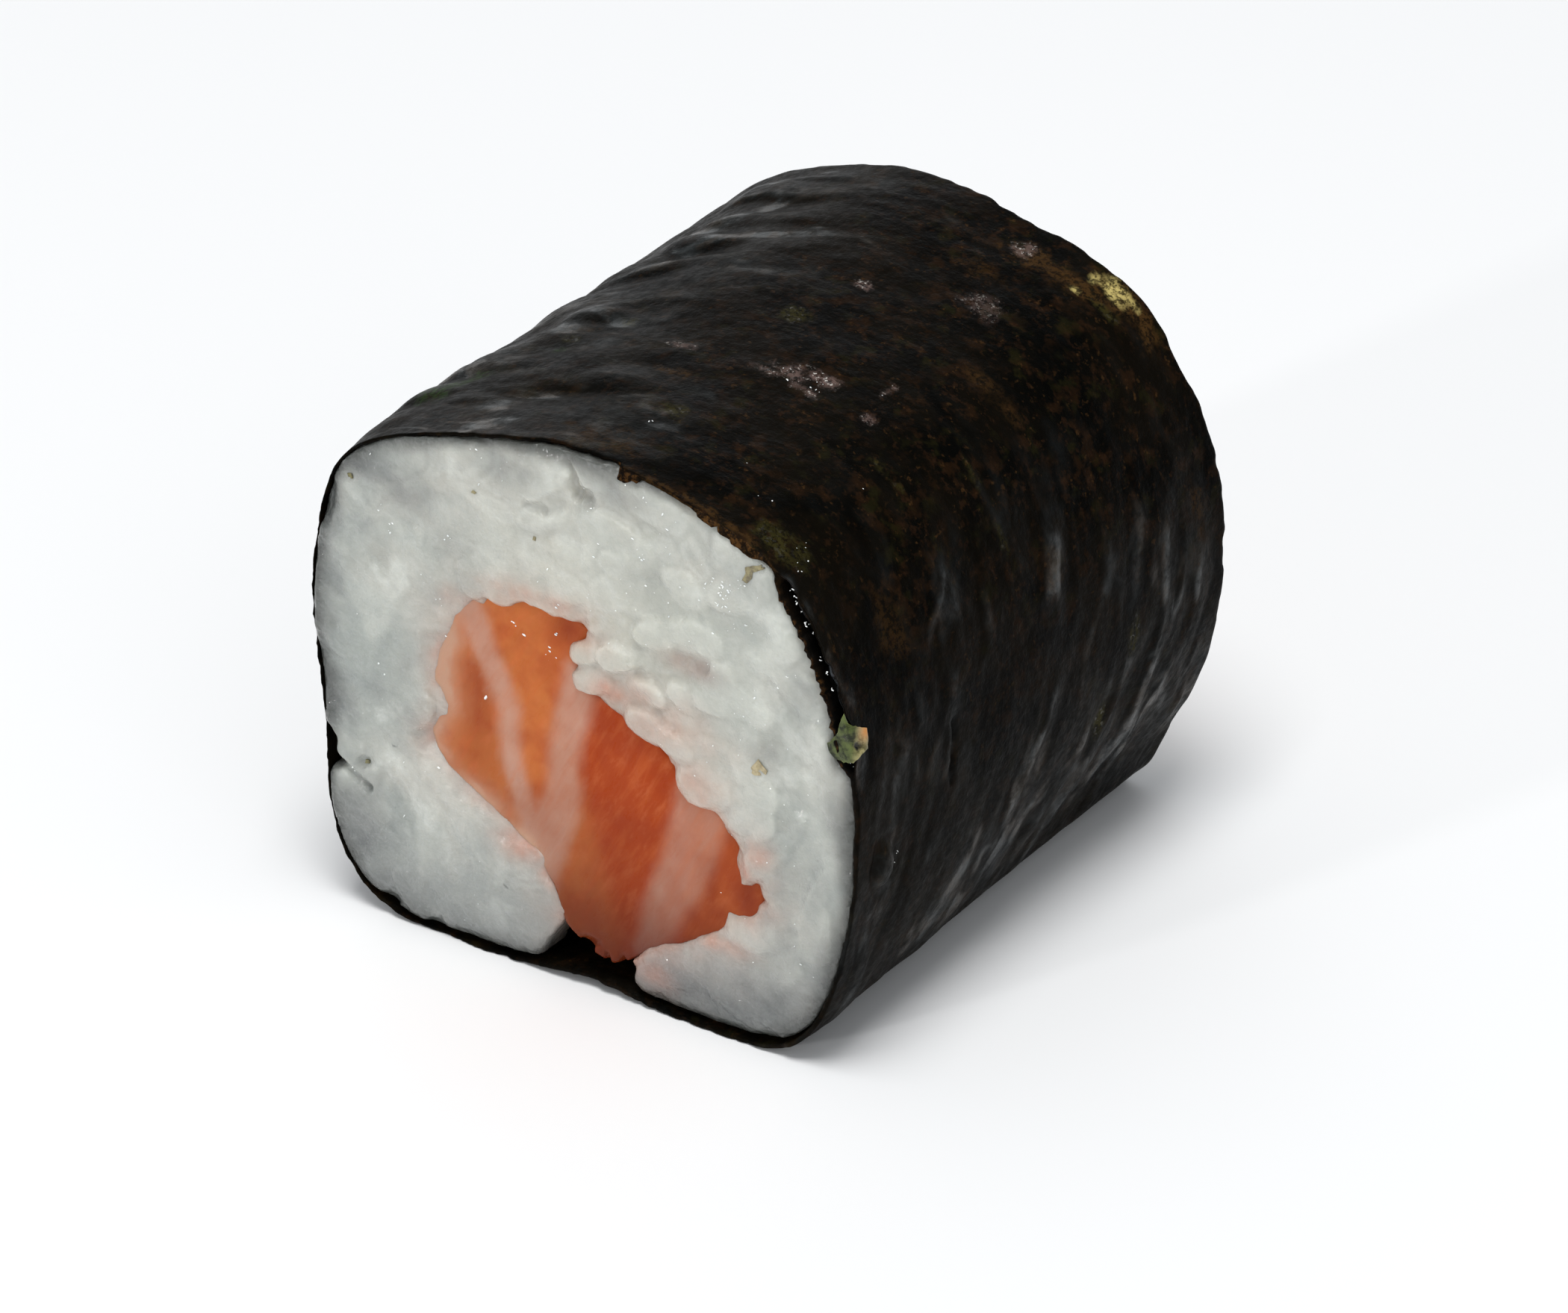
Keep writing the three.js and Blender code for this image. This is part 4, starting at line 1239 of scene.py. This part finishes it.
# Scraps of seaweed on the near cut: outline in (x, z), how far it stands off the rice, and how pale it is.
SCRAPS = [
    ([(7.5, 11.52), (7.72, 11.85), (7.93, 12.15), (8.1, 11.95), (8.32, 11.8), (8.25, 11.6), (7.8, 11.48)],
     0.06, 1.0),
    ([(7.28, 19.28), (7.45, 19.6), (7.42, 19.85), (7.75, 20.0), (8.05, 20.1), (8.2, 20.0), (7.95, 19.85),
      (7.75, 19.75), (7.72, 19.5), (7.5, 19.22)], 0.10, 0.35),
    ([(-10.2, 18.05), (-10.25, 18.25), (-10.05, 18.3), (-10.0, 18.1)], 0.02, 0.0),
    ([(-1.93, 18.05), (-1.9, 18.2), (-1.78, 18.18), (-1.8, 18.04)], 0.02, 0.4),
    ([(-4.6, 19.22), (-4.52, 19.32), (-4.36, 19.28), (-4.42, 19.18)], 0.02, 0.4),
    ([(-9.85, 6.15), (-9.8, 6.34), (-9.62, 6.36), (-9.64, 6.2)], 0.02, 0.0),
]
SCRAP_THICKNESS = 0.04
SCRAP_DEEPEST = 0.22  # a scrap bridges rice that lies further back than this
FLAKE_RINGS = (1.0, 0.96, 0.8, 0.6, 0.4, 0.2)  # each flake is filled by its outline, shrunk ring by ring
FLAKE_STEPS = 4  # points along each stretch of an outline

# The frayed, half-clear bit folded over the near rim. Its outline is (out from the rim, along the rim):
# what is below 0 lies over the cut, and what is above it lies back along the side.
BIT_AT = math.radians(14.5)
BIT_OUTLINE = [
    (-1.3, -0.1), (-1.05, 0.0), (-0.55, 0.45), (-0.3, 0.9), (-0.1, 1.15), (0.0, 0.7), (0.4, 0.5), (0.9, 0.2),
    (0.85, -0.25), (0.75, -0.5), (0.3, -0.55), (-0.15, -0.75), (-0.6, -0.8), (-1.05, -0.65), (-1.25, -0.35),
]
BIT_HOLE = (0.25, -0.22, 0.2)  # where it is worn through, and its radius
BIT_CORNER = (0.85, 0.15, 0.35, 0.3, 1.0)  # the soft spot at its amber corner
BIT_FOLD = 0.12
BIT_STAND = 0.14  # how far it stands off the side
BIT_LIFT = 0.10  # how far it stays behind the plane of the cut

# Beads of moisture, coloured white as painted glints: (x, z) on the near cut, how many, and how widely they
# spread.
RICE_BEADS = [
    (6.2, 18.4, 18, 0.32), (7.2, 19.0, 4, 0.12), (2.4, 19.1, 3, 0.15), (3.0, 18.8, 3, 0.10),
    (0.7, 20.1, 3, 0.12), (-3.4, 21.5, 3, 0.10), (-4.5, 21.1, 4, 0.15), (1.4, 16.7, 4, 0.5),
    (1.25, 15.5, 3, 0.3), (1.4, 14.3, 2, 0.1), (-6.2, 14.2, 4, 0.12), (3.7, 11.4, 2, 0.05),
    (4.7, 15.9, 3, 0.2), (6.0, 14.4, 3, 0.10), (6.8, 10.2, 3, 0.1), (8.3, 13.8, 1, 0.05),
    (9.5, 16.1, 2, 0.1), (7.6, 17.6, 6, 0.5), (6.6, 17.0, 5, 0.3), (-6.3, 7.1, 2, 0.08),
    (-7.1, 8.5, 3, 0.12), (-4.5, 3.85, 2, 0.08), (-7.7, 1.8, 2, 0.15), (10.2, 4.0, 3, 0.2),
    (8.9, 9.6, 2, 0.3), (-8.3, 16.6, 4, 0.2), (-8.8, 17.4, 2, 0.1), (-4.6, 18.9, 2, 0.1),
    (3.1, 21.4, 4, 0.3), (4.8, 12.9, 2, 0.2), (1.8, 12.95, 2, 0.1), (-0.8, 15.6, 2, 0.08),
    (5.7, 10.8, 2, 0.3), (6.1, 11.9, 2, 0.3), (-5.6, 17.2, 3, 0.4), (0.5, 16.5, 2, 0.1),
    (5.5, 16.4, 3, 0.5), (8.4, 15.5, 4, 0.5), (9.9, 17.0, 4, 0.3), (10.7, 14.6, 3, 0.2),
    (6.2, 18.4, 26, 0.42), (3.5, 16.5, 20, 1.8), (7.5, 13.8, 16, 1.4), (9.2, 9.0, 8, 1.4),
    (0.0, 18.6, 9, 2.0), (-6.8, 17.6, 8, 1.6), (-8.0, 12.0, 7, 1.6), (-7.8, 5.8, 8, 1.4),
    (-5.2, 3.0, 5, 1.0), (9.3, 4.8, 6, 1.0), (-2.5, 21.2, 6, 1.0), (4.0, 20.3, 8, 0.8),
]
SALMON_BEADS = [
    (-2.95, 14.15, 3, 0.10), (-1.5, 13.2, 6, 0.2), (-1.1, 14.3, 2, 0.1), (-4.9, 11.6, 1, 0.02),
    (-4.25, 10.75, 1, 0.02), (1.9, 10.4, 1, 0.02), (-2.5, 13.9, 1, 0.05),
]
# Degrees round the roll, how many, and how far in from the outside as a share of the rim.
FURROW_BEADS = [
    (41.6, 4, 0.15), (39.6, 6, 0.3), (38.4, 3, 0.35), (36.2, 6, 0.45), (34.6, 4, 0.3), (29.2, 5, 0.5),
    (27.4, 4, 0.45), (24, 2, 0.5), (10.4, 2, 0.4), (-3.5, 2, 0.2),
]
# Degrees and y on the outside of the sheet, and how many.
SHEET_BEADS = [
    (-14, -9.85, 4), (70, -3.1, 5), (76, -3.0, 2), (46, -10.6, 4), (44, -11.4, 3), (62, -1.0, 1),
    (58, -9.8, 2), (66, -8.8, 2), (85, -9.0, 2), (35, -2.4, 1), (50, -6.0, 1), (72, -10.6, 3),
]
BEAD_RINGS = ((0.5, 0.48), (0.87, 0.15), (1.0, -0.35))  # width and height of each ring, in radii
BEAD_SIDES = 8
BEAD_SEED = 555
BEAD_SMALLEST, BEAD_RANGE = 0.019, 0.034  # radius; small beads are the most common
FURROW_DEPTH = 0.65


def add_flake(points, faces, outline, place):
    """Adds a thin closed flake. place gives a point from its outline's two measures and its face, 0 or 1."""
    outline = np.array(outline)
    turned = closed_edges(outline)
    if np.sum(turned[:, 0, 0] * turned[:, 1, 1] - turned[:, 1, 0] * turned[:, 0, 1]) < 0:
        turned = closed_edges(outline[::-1])
    steps = np.arange(FLAKE_STEPS)[None, :, None] / FLAKE_STEPS
    ring = (turned[:, :1] + steps * (turned[:, 1:] - turned[:, :1])).reshape(-1, 2)
    count = len(ring)
    centre = ring.mean(0)
    wobble = 1 + 0.04 * lattice_noise(ring[:, 0] / 0.07, ring[:, 1] / 0.07, 0, 92)
    ring = centre + (ring - centre) * wobble[:, None]
    base = len(points)
    for layer in (0, 1):
        for share in FLAKE_RINGS:
            points.extend(place(a, b, layer) for a, b in centre + (ring - centre) * share)
        points.append(place(*centre, layer))
    size = len(FLAKE_RINGS) * count + 1
    last = (len(FLAKE_RINGS) - 1) * count
    for k in range(count):
        after = (k + 1) % count
        for layer in (0, 1):
            first = base + layer * size
            strip = [[first + r + k, first + r + after, first + r + count + after, first + r + count + k]
                     for r in range(0, last, count)]
            strip.append([first + last + k, first + last + after, first + size - 1])
            faces.extend(face if layer == 0 else face[::-1] for face in strip)
        faces.append([base + k, base + size + k, base + size + after, base + after])


def make_scraps(rice_front):
    points, faces, paleness = [], [], []
    for outline, stand, pale in SCRAPS:

        def place(x, z, layer):
            thickness = SCRAP_THICKNESS * layer
            curl = stand * (0.8 + 0.6 * float(lattice_noise(x / 0.5, 0, z / 0.5, 91)))
            behind = min(rice_front(x, z), SCRAP_DEEPEST) - curl + thickness
            return [x, NEAR_FACE + max(behind, 0.02 + thickness), z]

        add_flake(points, faces, outline, place)
        paleness += [pale] * (len(points) - len(paleness))
    piece = new_piece("seaweed_scraps", points, faces, scrap_material())
    set_values(piece, "paleness", paleness)


def scrap_material():
    n = Nodes("olive_scrap")
    mottle = n.ramp(n.noise(n.place(), 5.0, 4.0, 0.7), 0.36, 0.62)
    olive = n.mix(mottle, (40, 34, 14), (110, 104, 52))
    beige = n.mix(mottle, (140, 126, 92), (176, 162, 126))
    n.set(Base_Color=n.mix(n.value("paleness"), olive, beige), Roughness=n.ramp(mottle, 0.0, 1.0, 0.3, 0.45),
          Coat_Weight=0.5, Coat_Roughness=0.08)
    return n.material


def make_frayed_bit():
    points, faces, along = [], [], []
    rim = float(outside(BIT_AT, NEAR_FACE)) - RELIEF_ROOM

    def bend(value):
        return BIT_FOLD * math.log1p(math.exp(value / BIT_FOLD))

    def place(a, b, layer):
        angle = BIT_AT + b / rim
        hole = math.exp(-(math.hypot(a - BIT_HOLE[0], b - BIT_HOLE[1]) / BIT_HOLE[2]) ** 2)
        pucker = 0.07 * float(lattice_noise(a / 0.45, b / 0.45, 0.0, 96)) - 0.16 * hole - 0.05 * layer
        along.append((a, b, hole))
        radius = rim + BIT_STAND - bend(-a) + pucker * (a > 0)
        y = NEAR_FACE + BIT_LIFT + bend(a) - pucker * (a <= 0)
        return [radius * math.cos(angle), y, MIDDLE[1] + radius * math.sin(angle)]

    add_flake(points, faces, BIT_OUTLINE, place)
    points = np.clip(points, BOX_LOW, BOX_HIGH)
    piece = new_piece("frayed_seaweed_bit", points, faces, frayed_material())
    a, b, hole = np.array(along).T
    set_values(piece, "hole", step_up(hole, 0.25, 0.7))
    set_values(piece, "corner", spots([BIT_CORNER], a, b))
    set_values(piece, "green", 1 - step_up(a - 0.4 * b, -0.05, 0.45))


def frayed_material():
    n = Nodes("frayed_seaweed")
    mottle = n.ramp(n.noise(n.place(), 2.2, 4.0, 0.65), 0.36, 0.62)
    look = n.coats(
        n.mix(mottle, (92, 88, 50), (168, 158, 112)),
        (n.value("green"), n.mix(mottle, (24, 30, 12), (84, 94, 48))),
        (n.times(n.value("corner"), 0.9), (206, 128, 54)),
        (n.value("hole"), (8, 7, 5)),
    )
    n.set(Base_Color=look, Roughness=n.ramp(mottle, 0.0, 1.0, 0.25, 0.4), Specular_IOR_Level=0.15,
          Subsurface_Weight=0.3, Subsurface_Radius=(0.6, 0.7, 0.3), Subsurface_Scale=0.3 * MM,
          Coat_Weight=0.25, Coat_Roughness=0.06)
    return n.material


def add_bead(points, faces, centre, radius, out, rng):
    """Adds one squashed, uneven drop on a surface that faces out."""
    out = np.array(out) / np.linalg.norm(out)
    side = np.cross(out, [0.3, 0.5, 0.81])
    side /= np.linalg.norm(side)
    up = np.cross(out, side)
    stretch = rng.uniform(0.6, 1.7)
    base = len(points)
    points.append(centre + out * radius * 0.6)
    for ring, (away, height) in enumerate(BEAD_RINGS):
        for k in range(BEAD_SIDES):
            turn = 2 * np.pi * (k + 0.5 * (ring % 2)) / BEAD_SIDES
            reach_out = radius * away * rng.uniform(0.85, 1.15)
            points.append(centre + side * math.cos(turn) * reach_out * stretch
                          + up * math.sin(turn) * reach_out / stretch + out * radius * height)
    points.append(centre - out * radius * 0.8)
    for k in range(BEAD_SIDES):
        after = (k + 1) % BEAD_SIDES
        faces.append((base, base + 1 + k, base + 1 + after))
        for start in (base + 1, base + 1 + BEAD_SIDES):
            faces.append((start + k, start + BEAD_SIDES + k, start + BEAD_SIDES + after, start + after))
        faces.append((len(points) - 1, base + 1 + 2 * BEAD_SIDES + after, base + 1 + 2 * BEAD_SIDES + k))


def make_beads(rice_front, salmon_front):
    """Beads of moisture, coloured white as painted glints, on the cut, along the lap's furrow and on the
    sheet.
    """
    rng = np.random.default_rng(BEAD_SEED)
    points, faces = [], []

    def size():
        return BEAD_SMALLEST + BEAD_RANGE * rng.uniform() ** 2

    for table, front, share in ((RICE_BEADS, rice_front, 1.0), (SALMON_BEADS, salmon_front, 1.5)):
        for x, z, count, spread in table:
            for _ in range(count):
                px, pz = x + rng.normal(0, spread), z + rng.normal(0, spread)
                radius = size() * share
                if inside_sheet(px, NEAR_FACE, pz) < 0.3:
                    continue
                centre = np.array([px, NEAR_FACE + max(front(px, pz), radius), pz])
                add_bead(points, faces, centre, radius, (0.2, -1, 0.35), rng)

    def add_round(angle, y, inwards, radius, out_y):
        reach_out = float(outside(angle, y)) - RELIEF_ROOM - inwards
        centre = np.array([reach_out * math.cos(angle), y, MIDDLE[1] + reach_out * math.sin(angle)])
        add_bead(points, faces, centre, radius, (math.cos(angle), out_y, math.sin(angle)), rng)

    for degrees, count, share in FURROW_BEADS:
        for _ in range(count):
            angle = math.radians(degrees + rng.normal(0, 0.5))
            inwards = FURROW_DEPTH * (share + rng.normal(0, 0.08))
            add_round(angle, NEAR_FACE + RIM_SETBACK + rng.uniform(0.10, 0.35), inwards, size(), -1)
    for degrees, y, count in SHEET_BEADS:
        for _ in range(count):
            angle = math.radians(degrees + rng.normal(0, 1.0))
            add_round(angle, y + rng.normal(0, 0.2), 0.0, size() * 0.8, -0.3)
    new_piece("moisture_glint_beads", points, faces, bead_material())


def bead_material():
    n = Nodes("moisture_glints")
    cloud = n.ramp(n.noise(n.place(), 2.0), 0.4, 0.6)
    # near-white base colour: painted glints where the beads catch the light
    n.set(Base_Color=n.mix(cloud, (226, 230, 230), (250, 252, 250)), Roughness=0.10,
          Coat_Weight=1.0, Coat_Roughness=0.03)
    return n.material


# ---------------------------------------------------------------- floor, light and camera

FLOOR_SIZE = 3.0
FLOOR_DROP = 0.00002  # the floor's top lies this far under the roll
FLOOR_COLOUR = (0.88, 0.88, 0.88, 1.0)
SKY_COLOUR = (0.92, 0.96, 1.0, 1.0)
SKY_STRENGTH = 0.40
# Square soft lights, in metres and watts: name, place, height of the point it aims at, size and power.
LIGHTS = [
    ("top", (0.06, -0.13, 0.55), 0.01, 0.25, 2.3),
    ("side", (0.45, -0.30, 0.30), 0.01, 0.30, 0.3),
    ("back", (-0.42, 0.52, 0.20), 0.01, 0.55, 0.8),
    ("front", (-0.12, -0.45, 0.10), 0.012, 0.03, 0.55),
]
CAMERA_PLACE = (0.1710, -0.2483, 0.1769)
CAMERA_LOOK = (-0.4939, 0.7193, -0.4885)
CAMERA_LENS = 212.3
CAMERA_SENSOR = 36.0


def make_floor():
    bpy.ops.mesh.primitive_plane_add(size=FLOOR_SIZE, location=(0, 0, -FLOOR_DROP))
    floor = bpy.context.object
    floor.name = "floor"
    n = Nodes("pale_floor")
    n.set(Base_Color=FLOOR_COLOUR, Roughness=0.8)
    floor.data.materials.append(n.material)


def place_and_aim(thing, place, look):
    """Adds a light or a camera to the scene, looking along a direction."""
    thing.location = place
    thing.rotation_euler = Vector(look).to_track_quat("-Z", "Y").to_euler()
    bpy.context.scene.collection.objects.link(thing)


def make_lights():
    for name, place, aim_height, size, watts in LIGHTS:
        data = bpy.data.lights.new(name, "AREA")
        data.size = size
        data.energy = watts
        light = bpy.data.objects.new(name, data)
        light.visible_camera = False
        place_and_aim(light, place, Vector((0, 0, aim_height)) - Vector(place))


def make_world():
    world = bpy.data.worlds.new("studio")
    world.use_nodes = True
    background = world.node_tree.nodes["Background"]
    background.inputs["Color"].default_value = SKY_COLOUR
    background.inputs["Strength"].default_value = SKY_STRENGTH
    bpy.context.scene.world = world


def make_camera():
    data = bpy.data.cameras.new("photo_camera")
    data.sensor_width = CAMERA_SENSOR
    data.lens = CAMERA_LENS
    data.clip_start = 0.01
    camera = bpy.data.objects.new("photo_camera", data)
    place_and_aim(camera, CAMERA_PLACE, CAMERA_LOOK)
    bpy.context.scene.camera = camera


make_seaweed()
near_end = End(True, 0.09, 101, 301)
far_end = End(False, 0.12, 202, 401)
rice_ends = [build_rice_end(end) for end in (near_end, far_end)]
join_ends("rice_grains", rice_ends, "rice", rice_material())
salmon_ends = [build_salmon_end(end) for end in (near_end, far_end)]
join_ends("salmon_slab", salmon_ends, "salmon", salmon_material())
make_beads(near_end.rice_front, near_end.salmon_front)
make_scraps(near_end.rice_front)
make_frayed_bit()
make_floor()
make_world()
make_lights()
make_camera()
bpy.context.scene.view_settings.view_transform = "Standard"
